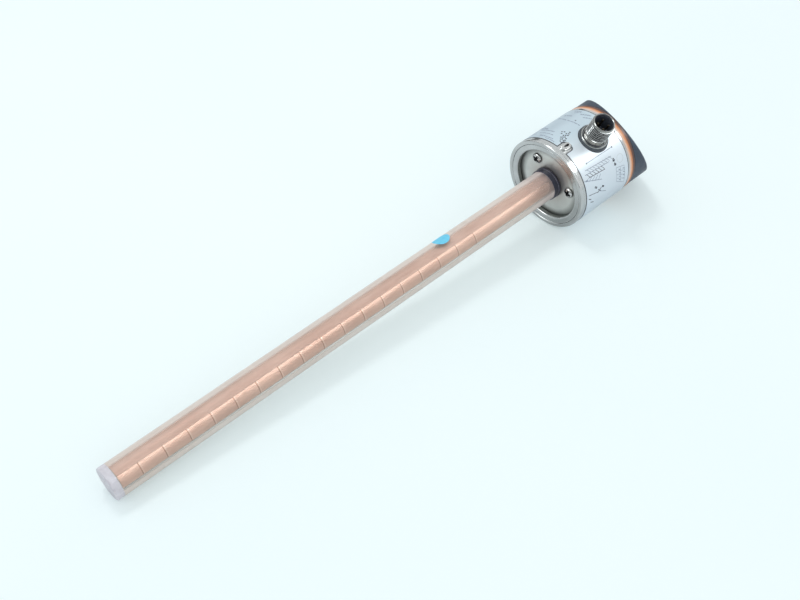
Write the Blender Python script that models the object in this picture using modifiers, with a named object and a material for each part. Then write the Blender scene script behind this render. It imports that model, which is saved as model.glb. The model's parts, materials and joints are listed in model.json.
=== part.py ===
"""Liquid level sensor with a rod probe, lying on a flat surface.

A round steel head carries a slanted display cover at one end and a see-through rod probe at
the other. A round plug connector stands out of the head's side. Everything is built along the
sensor's own axis (+X towards the probe's tip, +Z through the connector) and then laid down on
the rim of the head and the tip of the probe. Lengths are in metres.
"""
import math

import bmesh
import bpy
from mathutils import Matrix, Vector

# Clearance between pieces that touch
GAP = 0.0003

# Facets round the large, middle and small turned pieces
STEPS_LARGE = 48
STEPS_PROBE = 32
STEPS_CONNECTOR = 24
STEPS_SMALL = 12

# Bevels are round in section
ROUND_PROFILE = 0.5

# Edges sharper than this stay crisp when shaded
SHARP_ANGLE = math.radians(35.0)

# Lean of the connector away from straight up, as the sensor lies
LEAN = math.radians(24.0)

# Probe
PROBE_LENGTH = 0.264
PROBE_RADIUS = 0.008
PROBE_WALL = 0.0018
PROBE_END_WALL = 0.0036
PROBE_END_CHAMFER = 0.0003
PROBE_FLANGE_THICKNESS = 0.0038
FOIL_THICKNESS = 0.0003
FOIL_END_MARGIN = 0.0024
SEGMENT_PITCH = 0.01208
SEGMENT_FIRST_GROOVE = 0.0560
LAST_SEGMENT_LENGTH = 0.0080
GROOVE_WIDTH = 0.0004
GROOVE_DEPTH = 0.00012
SEGMENT_FOIL_ARC = math.radians(38.0)
SHIELD_FOIL_ARC = math.radians(150.0)
FOIL_SEAM_ANGLE = math.radians(-12.0)
SEGMENT_FOIL_STEPS = 3
SHIELD_FOIL_STEPS = 10
COLLAR_WALL = 0.0006
COLLAR_HEIGHT = 0.0042
COLLAR_GROOVE = 0.0003
COLLAR_GROOVE_HEIGHT = 0.0010
COLLAR_EDGE = 0.0003
FLANGE_GASKET_THICKNESS = 0.001

# Steel can: its wall runs back from a rolled rim with a flat land
CAN_WALL = 0.0008
CAN_LENGTH = 0.0368
RIM_STEP = 0.0002
RIM_FRONT = 0.0008
RIM_WIDTH = 0.0057
RIM_OUTER_ROUND = 0.0014
RIM_INNER_ROUND = 0.0009
RIM_FOLD_DEPTH = 0.0026
PLATE_THICKNESS = 0.0012

# Screws in the recessed base plate
SCREW_TO_PROBE = 0.00616
SCREW_TO_RIM = 0.00269
SCREW_ANGLES = (math.radians(60.0), math.radians(180.0), math.radians(300.0))
SCREW_RADIUS = 0.0015
SCREW_HEAD_RADIUS = 0.00275
SCREW_HEAD_HEIGHT = 0.0014
SCREW_CROWN_RADIUS = 0.0017
SCREW_CROWN_HEIGHT = 0.0008
SCREW_LENGTH = 0.0085
SCREW_SLOT_WIDTH = 0.0008
SCREW_SLOT_LENGTH = 0.0032
SCREW_SLOT_DEPTH = 0.0009

# Small lug spot-welded on the can behind the rim
LUG_LENGTH = 0.0056
LUG_WIDTH = 0.0038
LUG_THICKNESS = 0.0009
LUG_ROUND = 0.0009
LUG_SLOT_LENGTH = 0.0030
LUG_SLOT_WIDTH = 0.0012
LUG_SLOT_ROUND = 0.0005
LUG_ANGLE = math.radians(9.5)
LUG_FRONT = -0.0031

# Board carrier and boards
CARRIER_POST_RADIUS = 0.0033
CARRIER_RING_MARGIN = 0.0005
CARRIER_RING_THICKNESS = 0.002
CARRIER_HOLE_MARGIN = 0.0008
BOARD_THICKNESS = 0.0016

# Electronics module in the half of the can that is turned away from the connector
MODULE_FLAT = 0.0030
MODULE_EDGE_ROUND = 0.0012

# Plug connector on the side of the can
CONNECTOR_TO_CAN_END = 0.0143
CONNECTOR_RADIUS = 0.006
CONNECTOR_BORE_RADIUS = 0.0048
CONNECTOR_REACH = 0.0141
CONNECTOR_CHAMFER = 0.0005
CONNECTOR_UNDERCUT_RADIUS = 0.0054
CONNECTOR_UNDERCUT_LENGTH = 0.0024
CONNECTOR_FLANGE_RADIUS = 0.0073
CONNECTOR_FLANGE_THICKNESS = 0.0009
CONNECTOR_SHANK_RADIUS = 0.0058
CONNECTOR_SHANK_LENGTH = 0.0071
GASKET_MARGIN = 0.0006
GASKET_CROWN = 0.0005
NUT_ACROSS_FLATS = 0.014
NUT_THICKNESS = 0.0028
INSERT_DEPTH = 0.0092
INSERT_KEY_WIDTH = 0.0012
INSERT_KEY_HEIGHT = 0.006
PIN_RADIUS = 0.0005
PIN_CIRCLE_RADIUS = 0.0028
PIN_COUNT = 4
PIN_DEPTH = 0.0014
PIN_TAIL = 0.0022
PIN_EDGE = 0.0003

# Accent ring and slanted cover
RING_STEP = 0.0002
RING_WIDTH = 0.0042
RING_WALL = 0.0017
RING_SPIGOT_LENGTH = 0.003
COVER_STEP = 0.0002
COVER_WALL = 0.002
COVER_SLANT = math.radians(30.9)
COVER_LOW_HEIGHT = 0.0004
COVER_EDGE_ROUND = 0.0011
COVER_SKIRT_WALL = 0.0015
COVER_SKIRT_LENGTH = 0.0078
COVER_LEDGE = 0.0024
FACE_POCKET_DEPTH = 0.0004
FACE_POCKET_MARGIN = 0.0026

# Display window, board and push buttons, placed on the slanted face
WINDOW_WIDTH = 0.024
WINDOW_HEIGHT = 0.0125
WINDOW_STEP = 0.0013
WINDOW_THICKNESS = 0.0009
WINDOW_CENTRE = 0.0062
WINDOW_CORNER = 0.0012
BUTTON_RADIUS = 0.0042
BUTTON_PROUD = 0.0008
BUTTON_TRAVEL = 0.0006
BUTTON_FLANGE_RADIUS = 0.0054
BUTTON_FLANGE_THICKNESS = 0.0008
BUTTON_ROUND = 0.0005
BUTTON_PLACES = {"mode_button": (-0.0085, -0.0105), "set_button": (0.0085, -0.0105)}
BOARD_DEPTH = 0.0075
BOARD_SIDE_MARGIN = 0.0072
BOARD_END_MARGIN = 0.0092
BOARD_CENTRE = -0.0015
BOARD_CORNER = 0.002
POST_RADIUS = 0.0022
POST_INSET = 0.0021
POST_HEIGHTS = (0.0095, -0.0030)
BOARD_SCREW_RADIUS = 0.0008
BOARD_SCREW_HEAD_RADIUS = 0.0016
BOARD_SCREW_HEAD_HEIGHT = 0.0011
BOARD_SCREW_LENGTH = 0.0052
DISPLAY_SIDE_MARGIN = 0.00045
DISPLAY_HEIGHT = 0.0078
SWITCH_SIZE = 0.006
SWITCH_HEIGHT = 0.0022
PLUNGER_RADIUS = 0.0017

# Sizes and places that follow from the sizes above
SCREW_CIRCLE_RADIUS = PROBE_RADIUS + SCREW_TO_PROBE
RIM_OPENING_RADIUS = SCREW_CIRCLE_RADIUS + SCREW_HEAD_RADIUS + SCREW_TO_RIM
RIM_RADIUS = RIM_OPENING_RADIUS + RIM_WIDTH
CAN_RADIUS = RIM_RADIUS - RIM_STEP
RING_RADIUS = CAN_RADIUS - RING_STEP
COVER_RADIUS = RING_RADIUS - COVER_STEP
PLATE_FRONT = RIM_FRONT - RIM_FOLD_DEPTH - GAP
PLATE_BACK = PLATE_FRONT - PLATE_THICKNESS
PROBE_FLANGE_RADIUS = SCREW_CIRCLE_RADIUS - CARRIER_POST_RADIUS - GAP
FLANGE_FRONT = PLATE_BACK - 2 * GAP - FLANGE_GASKET_THICKNESS
FLANGE_BACK = FLANGE_FRONT - PROBE_FLANGE_THICKNESS
CARRIER_RING_FRONT = FLANGE_BACK - GAP
CARRIER_BACK = CARRIER_RING_FRONT - CARRIER_RING_THICKNESS
BORE_RADIUS = PROBE_RADIUS - PROBE_WALL
BORE_END = PROBE_LENGTH - PROBE_END_WALL
FOIL_OUTER = BORE_RADIUS - GAP
FOIL_INNER = FOIL_OUTER - FOIL_THICKNESS
FOIL_END = BORE_END - FOIL_END_MARGIN
CAN_INNER = CAN_RADIUS - CAN_WALL
CARRIER_RING_RADIUS = SCREW_CIRCLE_RADIUS + CARRIER_POST_RADIUS + CARRIER_RING_MARGIN
CARRIER_HOLE_RADIUS = PROBE_RADIUS + CARRIER_HOLE_MARGIN
CONNECTOR_X = CONNECTOR_TO_CAN_END - CAN_LENGTH
COLLAR_RADIUS = PROBE_RADIUS + GAP + COLLAR_WALL
CONNECTOR_MOUTH = CAN_RADIUS + CONNECTOR_REACH
CONNECTOR_FLANGE_BOTTOM = CAN_RADIUS + 2 * GAP + GASKET_CROWN
CONNECTOR_FLANGE_TOP = CONNECTOR_FLANGE_BOTTOM + CONNECTOR_FLANGE_THICKNESS
GASKET_RADIUS = CONNECTOR_FLANGE_RADIUS + GASKET_MARGIN
CONNECTOR_SHANK_END = CAN_INNER - CONNECTOR_SHANK_LENGTH
INSERT_TOP = CONNECTOR_MOUTH - INSERT_DEPTH
PIN_TOP = CONNECTOR_MOUTH - PIN_DEPTH
PIN_BOTTOM = CONNECTOR_SHANK_END - PIN_TAIL
MAIN_BOARD_RADIUS = CONNECTOR_SHANK_END - GAP
RING_FRONT = -CAN_LENGTH - GAP
RING_BACK = RING_FRONT - RING_WIDTH
COVER_BASE = RING_BACK - GAP
COVER_LOW = COVER_BASE - COVER_LOW_HEIGHT
FACE_X = COVER_LOW - COVER_RADIUS * math.tan(COVER_SLANT)
RING_INNER = RING_RADIUS - RING_WALL
SKIRT_OUTER = RING_INNER - GAP
SKIRT_INNER = SKIRT_OUTER - COVER_SKIRT_WALL
BOARD_TOP = -BOARD_DEPTH
BOARD_WIDTH = 2 * (COVER_RADIUS - COVER_WALL - BOARD_SIDE_MARGIN)
BOARD_HEIGHT = 2 * (COVER_RADIUS - COVER_WALL - BOARD_END_MARGIN)
POST_ACROSS = BOARD_WIDTH / 2 - POST_INSET
POST_PLACES = [(side * POST_ACROSS, height) for height in POST_HEIGHTS for side in (-1, 1)]
DISPLAY_WIDTH = WINDOW_WIDTH - 2 * WINDOW_STEP - 2 * DISPLAY_SIDE_MARGIN
FLOOR_ANGLE = math.pi + LEAN


def clear_scene():
    for item in list(bpy.data.objects):
        bpy.data.objects.remove(item, do_unlink=True)


def new_collection(name):
    collection = bpy.data.collections.new(name)
    bpy.context.scene.collection.children.link(collection)
    return collection


def material(name, colour, roughness, metallic=0.0):
    made = bpy.data.materials.new(name)
    made.use_nodes = True
    shader = made.node_tree.nodes["Principled BSDF"]
    shader.inputs["Base Color"].default_value = (*colour, 1.0)
    shader.inputs["Roughness"].default_value = roughness
    shader.inputs["Metallic"].default_value = metallic
    return made


def empty(name, parent, matrix):
    frame = bpy.data.objects.new(name, None)
    parts.objects.link(frame)
    frame.parent = parent
    frame.matrix_basis = matrix
    return frame


def add_object(name, mesh, parent, finish, matrix=Matrix()):
    """A visible piece, placed by its matrix in its parent's frame."""
    piece = bpy.data.objects.new(name, mesh)
    parts.objects.link(piece)
    piece.parent = parent
    piece.matrix_basis = matrix
    mesh.materials.append(finish)
    return piece


def add_cutter(name, mesh, parent, matrix=Matrix()):
    """A hidden body that only shapes other pieces."""
    tool = bpy.data.objects.new(name, mesh)
    cutters.objects.link(tool)
    tool.parent = parent
    tool.matrix_basis = matrix
    tool.hide_render = True
    tool.display_type = "WIRE"
    return tool


def combine(piece, tool, operation="DIFFERENCE"):
    modifier = piece.modifiers.new(tool.name, "BOOLEAN")
    modifier.operation = operation
    modifier.object = tool
    modifier.solver = "EXACT"


def mesh_from(name, bm):
    bmesh.ops.recalc_face_normals(bm, faces=bm.faces)
    mesh = bpy.data.meshes.new(name)
    bm.to_mesh(mesh)
    bm.free()
    mesh.shade_smooth()
    mesh.set_sharp_from_angle(angle=SHARP_ANGLE)
    return mesh


def about_axis(angle):
    """Turns about the sensor's own axis: angle 0 points through the connector."""
    return Matrix.Rotation(angle, 4, "X")


def turned_matrix(steps):
    """Lays a turned piece along the axis with one of its facets facing the floor."""
    half_step = math.pi / steps
    return about_axis(FLOOR_ANGLE - math.pi + half_step) @ Matrix.Rotation(math.pi / 2, 4, "Y")


def turned_mesh(name, outline, steps):
    """Revolves an outline of (height, radius) points that runs down the outer side."""
    mesh = bpy.data.meshes.new(name)
    closed = outline[0][1] > 0
    count = len(outline)
    edges = [(i, (i + 1) % count) for i in range(count if closed else count - 1)]
    mesh.from_pydata([(radius, 0.0, height) for height, radius in outline], edges, [])
    return mesh


def add_screw(piece, steps):
    modifier = piece.modifiers.new("Turn", "SCREW")
    modifier.axis = "Z"
    modifier.angle = 2 * math.pi
    modifier.steps = steps
    modifier.render_steps = steps
    modifier.use_merge_vertices = True
    modifier.merge_threshold = 0.00001
    modifier.use_smooth_shade = True


def turned(name, outline, steps, parent, finish, matrix=None):
    placed = turned_matrix(steps) if matrix is None else matrix
    piece = add_object(name, turned_mesh(name, outline, steps), parent, finish, placed)
    add_screw(piece, steps)
    return piece


def turned_cutter(name, outline, steps, parent, matrix=None):
    placed = turned_matrix(steps) if matrix is None else matrix
    tool = add_cutter(name, turned_mesh(name, outline, steps), parent, placed)
    add_screw(tool, steps)
    return tool


def arc(centre, radius, start, end, count):
    """Points on an arc in the (height, radius) plane, angles from the tip side outwards."""
    points = []
    for i in range(count + 1):
        angle = math.radians(start + (end - start) * i / count)
        points.append((centre[0] + radius * math.cos(angle), centre[1] + radius * math.sin(angle)))
    return points


def tube_outline(top, bottom, outer, inner):
    return [(top, inner), (top, outer), (bottom, outer), (bottom, inner)]


def rod_outline(top, bottom, radius):
    return [(top, 0.0), (top, radius), (bottom, radius), (bottom, 0.0)]


def box_mesh(name, size, centre):
    bm = bmesh.new()
    placed = Matrix.Translation(centre) @ Matrix.Diagonal((*size, 1.0))
    bmesh.ops.create_cube(bm, size=1.0, matrix=placed)
    return mesh_from(name, bm)


def slab_mesh(name, width, height, corner, bottom, top):
    """A flat plate with rounded corners, between two heights."""
    bm = bmesh.new()
    middle = (0.0, 0.0, (bottom + top) / 2)
    size = Matrix.Diagonal((width, height, top - bottom, 1.0))
    bmesh.ops.create_cube(bm, size=1.0, matrix=Matrix.Translation(middle) @ size)
    upright = [e for e in bm.edges if abs(e.verts[0].co.z - e.verts[1].co.z) > (top - bottom) / 2]
    bmesh.ops.bevel(bm, geom=upright, offset=corner, segments=3, profile=ROUND_PROFILE, affect="EDGES")
    return mesh_from(name, bm)


def sector_mesh(name, outline, start, sweep, steps):
    """Sweeps a closed (height, radius) outline part of the way round the axis."""
    bm = bmesh.new()
    across = about_axis(start)
    corners = [bm.verts.new(across @ Vector((height, 0.0, radius))) for height, radius in outline]
    face = bm.faces.new(corners)
    bmesh.ops.spin(bm, geom=[face], cent=(0, 0, 0), axis=(1, 0, 0), angle=sweep, steps=steps,
                   use_merge=False)
    bmesh.ops.remove_doubles(bm, verts=bm.verts, dist=1e-7)
    return mesh_from(name, bm)


def slanted_cylinder(radius, offset, edge_round=0.0, keep_outside=False):
    """A cylinder along the axis, cut by the cover's slanted plane moved in by an offset."""
    bm = bmesh.new()
    near = COVER_BASE + COVER_RADIUS
    far = COVER_BASE - 4 * COVER_RADIUS
    along = Matrix.Translation(((near + far) / 2, 0, 0)) @ turned_matrix(STEPS_LARGE)
    bmesh.ops.create_cone(bm, cap_ends=True, segments=STEPS_LARGE, radius1=radius, radius2=radius,
                          depth=near - far, matrix=along)
    normal = face_normal()
    point = Vector((FACE_X, 0, 0)) - normal * offset
    cut(bm, point, normal, not keep_outside)
    if edge_round:
        rim = [e for e in bm.edges if all(abs((v.co - point).dot(normal)) < 1e-7 for v in e.verts)]
        bmesh.ops.bevel(bm, geom=rim, offset=edge_round, segments=2, profile=ROUND_PROFILE, affect="EDGES")
    if not keep_outside:
        cut(bm, Vector((COVER_BASE, 0, 0)), Vector((1, 0, 0)), True)
    return bm


def cut(bm, point, normal, drop_outer):
    """Cuts the body at a plane, drops one side and closes it."""
    everything = bm.verts[:] + bm.edges[:] + bm.faces[:]
    result = bmesh.ops.bisect_plane(bm, geom=everything, dist=1e-8, plane_co=point, plane_no=normal,
                                    clear_outer=drop_outer, clear_inner=not drop_outer)
    rim = [item for item in result["geom_cut"] if isinstance(item, bmesh.types.BMEdge)]
    bmesh.ops.edgeloop_fill(bm, edges=rim)


def face_normal():
    """Outward normal of the slanted face, tipped towards the connector's side."""
    return Vector((-math.cos(COVER_SLANT), 0.0, math.sin(COVER_SLANT)))


def face_matrix():
    """Frame of the slanted face: X across, Y up the slope, Z out of the face."""
    across = Vector((0.0, 1.0, 0.0))
    uphill = Vector((-math.sin(COVER_SLANT), 0.0, -math.cos(COVER_SLANT)))
    turn = Matrix((across, uphill, face_normal())).transposed().to_4x4()
    return Matrix.Translation((FACE_X, 0.0, 0.0)) @ turn


def resting_matrix():
    """Lays the sensor on the flats of its rim and of its probe's tip, centred over the origin."""
    rim_height = RIM_RADIUS * math.cos(math.pi / STEPS_LARGE)
    tip_height = PROBE_RADIUS * math.cos(math.pi / STEPS_PROBE)
    rim_x = RIM_FRONT - RIM_OUTER_ROUND
    tip_x = PROBE_LENGTH - PROBE_END_CHAMFER
    tilt = math.atan((rim_height - tip_height) / (tip_x - rim_x))
    height = math.sin(tilt) * rim_x + math.cos(tilt) * rim_height
    return Matrix.Translation((0, 0, height)) @ Matrix.Rotation(tilt, 4, "Y") @ about_axis(-LEAN)


def centre_over_origin(frame):
    """Shifts the frame sideways so that the middle of the sensor's box stands over the origin."""
    bpy.context.view_layer.update()
    depsgraph = bpy.context.evaluated_depsgraph_get()
    corners = []
    for piece in parts.objects:
        if piece.type == "MESH":
            shaped = piece.evaluated_get(depsgraph)
            corners += [shaped.matrix_world @ vertex.co for vertex in shaped.data.vertices]
    for axis in (0, 1):
        values = [corner[axis] for corner in corners]
        frame.location[axis] -= (min(values) + max(values)) / 2
    frame.location[2] -= min(corner[2] for corner in corners)


# Can and base

def build_can():
    """A deep-drawn can: its rim is rolled over and folded in down to the base plate."""
    fold_end = RIM_FRONT - RIM_FOLD_DEPTH
    inner = (RIM_FRONT - RIM_INNER_ROUND, RIM_OPENING_RADIUS + RIM_INNER_ROUND)
    outer = (RIM_FRONT - RIM_OUTER_ROUND, RIM_RADIUS - RIM_OUTER_ROUND)
    under = RIM_FRONT - CAN_WALL
    fold = RIM_OPENING_RADIUS + CAN_WALL
    outline = [(fold_end, fold), (fold_end, RIM_OPENING_RADIUS)]
    outline += arc(inner, RIM_INNER_ROUND, -90.0, 0.0, 3)
    outline += arc(outer, RIM_OUTER_ROUND, 0.0, 90.0, 5)
    outline += [(outer[0] - RIM_STEP, RIM_RADIUS), (outer[0] - 2 * RIM_STEP, CAN_RADIUS)]
    outline += [(-CAN_LENGTH, CAN_RADIUS), (-CAN_LENGTH, CAN_INNER)]
    outline += [(under - RIM_OUTER_ROUND, CAN_INNER), (under, CAN_INNER - RIM_OUTER_ROUND), (under, fold)]
    can = turned("housing_can", outline, STEPS_LARGE, sensor, steel)
    hole = rod_outline(CAN_RADIUS + CAN_WALL, CAN_INNER - 2 * CAN_WALL, CONNECTOR_SHANK_RADIUS + GAP)
    combine(can, turned_cutter("connector_hole", hole, STEPS_CONNECTOR, sensor, connector_matrix()))


def build_base_plate():
    hole = PROBE_RADIUS + GAP
    edge = CAN_INNER - GAP
    outline = tube_outline(PLATE_FRONT, PLATE_BACK, edge, hole)
    plate = turned("base_plate", outline, STEPS_LARGE, sensor, plate_steel)
    for number, angle in enumerate(SCREW_ANGLES, 1):
        shank = rod_outline(PLATE_THICKNESS, -3 * PLATE_THICKNESS, SCREW_RADIUS + GAP)
        name = f"plate_hole_{number}"
        combine(plate, turned_cutter(name, shank, STEPS_SMALL, sensor, screw_matrix(angle)))


def screw_matrix(angle):
    """Frame of one base screw: its Z points out of the plate, at the plate's front face."""
    outward = Matrix.Translation((PLATE_FRONT, 0.0, SCREW_CIRCLE_RADIUS))
    return about_axis(angle) @ outward @ Matrix.Rotation(math.pi / 2, 4, "Y")


def build_plate_screws():
    """Crowned screws with a cross recess."""
    top = GAP + SCREW_HEAD_HEIGHT
    half_crown = SCREW_CROWN_HEIGHT / 2
    outline = [(top, 0.0), (top, SCREW_CROWN_RADIUS)]
    outline += [(top - half_crown, SCREW_HEAD_RADIUS - half_crown / 2)]
    outline += [(top - SCREW_CROWN_HEIGHT, SCREW_HEAD_RADIUS), (GAP, SCREW_HEAD_RADIUS)]
    outline += [(GAP, SCREW_RADIUS), (-SCREW_LENGTH, SCREW_RADIUS), (-SCREW_LENGTH, 0.0)]
    slot = (SCREW_SLOT_LENGTH, SCREW_SLOT_WIDTH, 2 * SCREW_SLOT_DEPTH)
    for number, angle in enumerate(SCREW_ANGLES, 1):
        frame = screw_matrix(angle)
        screw = turned(f"plate_screw_{number}", outline, STEPS_SMALL, sensor, bright_steel, frame)
        for way, turn in (("x", 0.0), ("y", math.pi / 2)):
            bar = box_mesh("screw_slot", slot, (0.0, 0.0, top))
            placed = frame @ Matrix.Rotation(turn, 4, "Z")
            combine(screw, add_cutter(f"screw_slot_{way}_{number}", bar, sensor, placed))


def build_lug():
    """A flat lug with a slot, standing on the can just behind the rim."""
    bottom = CAN_RADIUS + GAP / 2
    plate = slab_mesh("rim_lug", LUG_LENGTH, LUG_WIDTH, LUG_ROUND, bottom, bottom + LUG_THICKNESS)
    place = about_axis(LUG_ANGLE) @ Matrix.Translation((LUG_FRONT - LUG_LENGTH / 2, 0.0, 0.0))
    lug = add_object("rim_lug", plate, sensor, steel, place)
    slot = slab_mesh("lug_slot", LUG_SLOT_LENGTH, LUG_SLOT_WIDTH, LUG_SLOT_ROUND,
                     bottom - LUG_THICKNESS, bottom + 2 * LUG_THICKNESS)
    combine(lug, add_cutter("lug_slot", slot, sensor, place))


# Probe

def build_probe_tube():
    end = PROBE_LENGTH
    outline = [(end, 0.0), (end, PROBE_RADIUS - PROBE_END_CHAMFER)]
    outline += [(end - PROBE_END_CHAMFER, PROBE_RADIUS)]
    outline += [(FLANGE_FRONT, PROBE_RADIUS), (FLANGE_FRONT, PROBE_FLANGE_RADIUS)]
    outline += [(FLANGE_BACK, PROBE_FLANGE_RADIUS), (FLANGE_BACK, BORE_RADIUS)]
    outline += [(BORE_END, BORE_RADIUS), (BORE_END, 0.0)]
    turned("probe_tube", outline, STEPS_PROBE, sensor, clear_plastic)


def build_probe_core():
    outline = rod_outline(FOIL_END + GAP, FLANGE_BACK, FOIL_INNER - GAP)
    turned("probe_core", outline, STEPS_PROBE, sensor, white_plastic)


def build_segment_foil():
    """The measuring foil: a curved strip whose grooves part its copper into equal segments."""
    outline = [(FOIL_END, FOIL_INNER), (FOIL_END, FOIL_OUTER)]
    last_groove = FOIL_END - LAST_SEGMENT_LENGTH
    for i in range(1 + int((last_groove - SEGMENT_FIRST_GROOVE) / SEGMENT_PITCH)):
        groove = last_groove - SEGMENT_PITCH * i
        low = FOIL_OUTER - GROOVE_DEPTH
        near, far = groove + GROOVE_WIDTH / 2, groove - GROOVE_WIDTH / 2
        outline += [(near, FOIL_OUTER), (near, low), (far, low), (far, FOIL_OUTER)]
    outline += [(FLANGE_BACK, FOIL_OUTER), (FLANGE_BACK, FOIL_INNER)]
    start = FOIL_SEAM_ANGLE - foil_edge() - SEGMENT_FOIL_ARC
    mesh = sector_mesh("segment_foil", outline, start, SEGMENT_FOIL_ARC, SEGMENT_FOIL_STEPS)
    add_object("segment_foil", mesh, sensor, copper)


def build_shield_foil():
    outline = tube_outline(FOIL_END, FLANGE_BACK, FOIL_OUTER, FOIL_INNER)
    start = FOIL_SEAM_ANGLE + foil_edge()
    mesh = sector_mesh("shield_foil", outline, start, SHIELD_FOIL_ARC, SHIELD_FOIL_STEPS)
    add_object("shield_foil", mesh, sensor, copper)


def foil_edge():
    """Half of the angle left open between the two foils."""
    return GAP / (2 * FOIL_INNER)


def build_collar():
    """Rubber collar round the probe's foot, with a groove near its own foot."""
    bottom = PLATE_FRONT + GAP
    top = bottom + COLLAR_HEIGHT
    groove = bottom + COLLAR_GROOVE_HEIGHT
    hole = PROBE_RADIUS + GAP
    low = COLLAR_RADIUS - COLLAR_GROOVE
    outline = [(top, hole), (top, COLLAR_RADIUS - COLLAR_EDGE), (top - COLLAR_EDGE, COLLAR_RADIUS)]
    outline += [(groove + COLLAR_GROOVE, COLLAR_RADIUS), (groove, low)]
    outline += [(groove - COLLAR_GROOVE, COLLAR_RADIUS), (bottom, COLLAR_RADIUS), (bottom, hole)]
    turned("probe_collar", outline, STEPS_PROBE, sensor, rubber)


def build_flange_gasket():
    top = PLATE_BACK - GAP
    outline = tube_outline(top, top - FLANGE_GASKET_THICKNESS, PROBE_FLANGE_RADIUS, PROBE_RADIUS + GAP)
    turned("flange_gasket", outline, STEPS_PROBE, sensor, rubber)


# Inside the can

def build_board_carrier():
    """A ring that clamps the probe's flange, on three posts that take the base screws."""
    outline = tube_outline(CARRIER_RING_FRONT, CARRIER_BACK, CARRIER_RING_RADIUS, CARRIER_HOLE_RADIUS)
    carrier = turned("board_carrier", outline, STEPS_PROBE, sensor, dark_plastic)
    post_top = -PLATE_THICKNESS - GAP
    ring_back = CARRIER_BACK - PLATE_FRONT
    ring_middle = ring_back + CARRIER_RING_THICKNESS / 2
    post = rod_outline(post_top, ring_middle, CARRIER_POST_RADIUS)
    hole = rod_outline(PLATE_THICKNESS, ring_back - CARRIER_RING_THICKNESS, SCREW_RADIUS + GAP)
    for name, shape, operation in (("post", post, "UNION"), ("hole", hole, "DIFFERENCE")):
        for number, angle in enumerate(SCREW_ANGLES, 1):
            tool_name = f"carrier_{name}_{number}"
            tool = turned_cutter(tool_name, shape, STEPS_SMALL, sensor, screw_matrix(angle))
            combine(carrier, tool, operation)


def build_main_board():
    top = CARRIER_BACK - GAP
    outline = rod_outline(top, top - BOARD_THICKNESS, MAIN_BOARD_RADIUS)
    turned("main_board", outline, STEPS_PROBE, sensor, board_green)


def build_electronics_module():
    """The potted electronics: a long block with one flat side, lying along the can's wall."""
    front = CARRIER_BACK - 2 * GAP - BOARD_THICKNESS
    back = COVER_BASE + COVER_SKIRT_LENGTH + GAP
    edge = CAN_INNER - GAP
    outline = [(front, 0.0), (front, edge - MODULE_EDGE_ROUND), (front - MODULE_EDGE_ROUND, edge)]
    outline += [(back + MODULE_EDGE_ROUND, edge), (back, edge - MODULE_EDGE_ROUND), (back, 0.0)]
    module = turned("electronics_module", outline, STEPS_LARGE, sensor, dark_plastic)
    size = 2 * CAN_RADIUS
    half = box_mesh("module_flat", (2 * size, 2 * size, size), (0.0, 0.0, size / 2 - MODULE_FLAT))
    combine(module, add_cutter("module_flat", half, sensor))


# Connector

def connector_matrix():
    """Frame of the connector: its Z runs out of the can, from the sensor's axis."""
    return Matrix.Translation((CONNECTOR_X, 0.0, 0.0))


def build_connector_body():
    mouth = CONNECTOR_MOUTH
    flange_top = CONNECTOR_FLANGE_TOP
    flange_bottom = CONNECTOR_FLANGE_BOTTOM
    thread_end = flange_top + CONNECTOR_UNDERCUT_LENGTH
    edge = CONNECTOR_CHAMFER
    outline = [(mouth, CONNECTOR_BORE_RADIUS), (mouth, CONNECTOR_RADIUS - edge)]
    outline += [(mouth - edge, CONNECTOR_RADIUS)]
    outline += [(thread_end, CONNECTOR_RADIUS), (thread_end - edge, CONNECTOR_UNDERCUT_RADIUS)]
    outline += [(flange_top, CONNECTOR_UNDERCUT_RADIUS), (flange_top, CONNECTOR_FLANGE_RADIUS - edge)]
    outline += [(flange_top - edge, CONNECTOR_FLANGE_RADIUS), (flange_bottom, CONNECTOR_FLANGE_RADIUS)]
    outline += [(flange_bottom, CONNECTOR_SHANK_RADIUS), (CONNECTOR_SHANK_END, CONNECTOR_SHANK_RADIUS)]
    outline += [(CONNECTOR_SHANK_END, CONNECTOR_BORE_RADIUS)]
    turned("connector_body", outline, STEPS_CONNECTOR, sensor, nickel, connector_matrix())


def build_connector_gasket():
    """A rubber ring whose underside is hollowed to sit on the round can."""
    hole = CONNECTOR_SHANK_RADIUS + GAP
    top = CONNECTOR_FLANGE_BOTTOM - GAP
    outline = tube_outline(top, CAN_INNER - CAN_WALL, GASKET_RADIUS, hole)
    gasket = turned("connector_gasket", outline, STEPS_CONNECTOR, sensor, rubber, connector_matrix())
    reach = 2 * GASKET_RADIUS
    saddle = rod_outline(CONNECTOR_X + reach, CONNECTOR_X - reach, CAN_RADIUS + GAP)
    combine(gasket, turned_cutter("gasket_saddle", saddle, STEPS_LARGE, sensor))


def build_connector_nut():
    """The hexagon nut inside the can; its corners come closest to the wall."""
    corner = NUT_ACROSS_FLATS / 2 / math.cos(math.pi / 6)
    inside = CAN_INNER * math.cos(math.pi / STEPS_LARGE) - GAP
    top = math.sqrt(inside ** 2 - corner ** 2)
    bm = bmesh.new()
    middle = Matrix.Translation((0.0, 0.0, top - NUT_THICKNESS / 2))
    bmesh.ops.create_cone(bm, cap_ends=True, segments=6, radius1=corner, radius2=corner,
                          depth=NUT_THICKNESS, matrix=middle)
    nut = add_object("connector_nut", mesh_from("connector_nut", bm), sensor, nickel, connector_matrix())
    bore = rod_outline(top + NUT_THICKNESS, top - 2 * NUT_THICKNESS, CONNECTOR_SHANK_RADIUS + GAP)
    combine(nut, turned_cutter("nut_bore", bore, STEPS_CONNECTOR, sensor, connector_matrix()))


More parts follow.
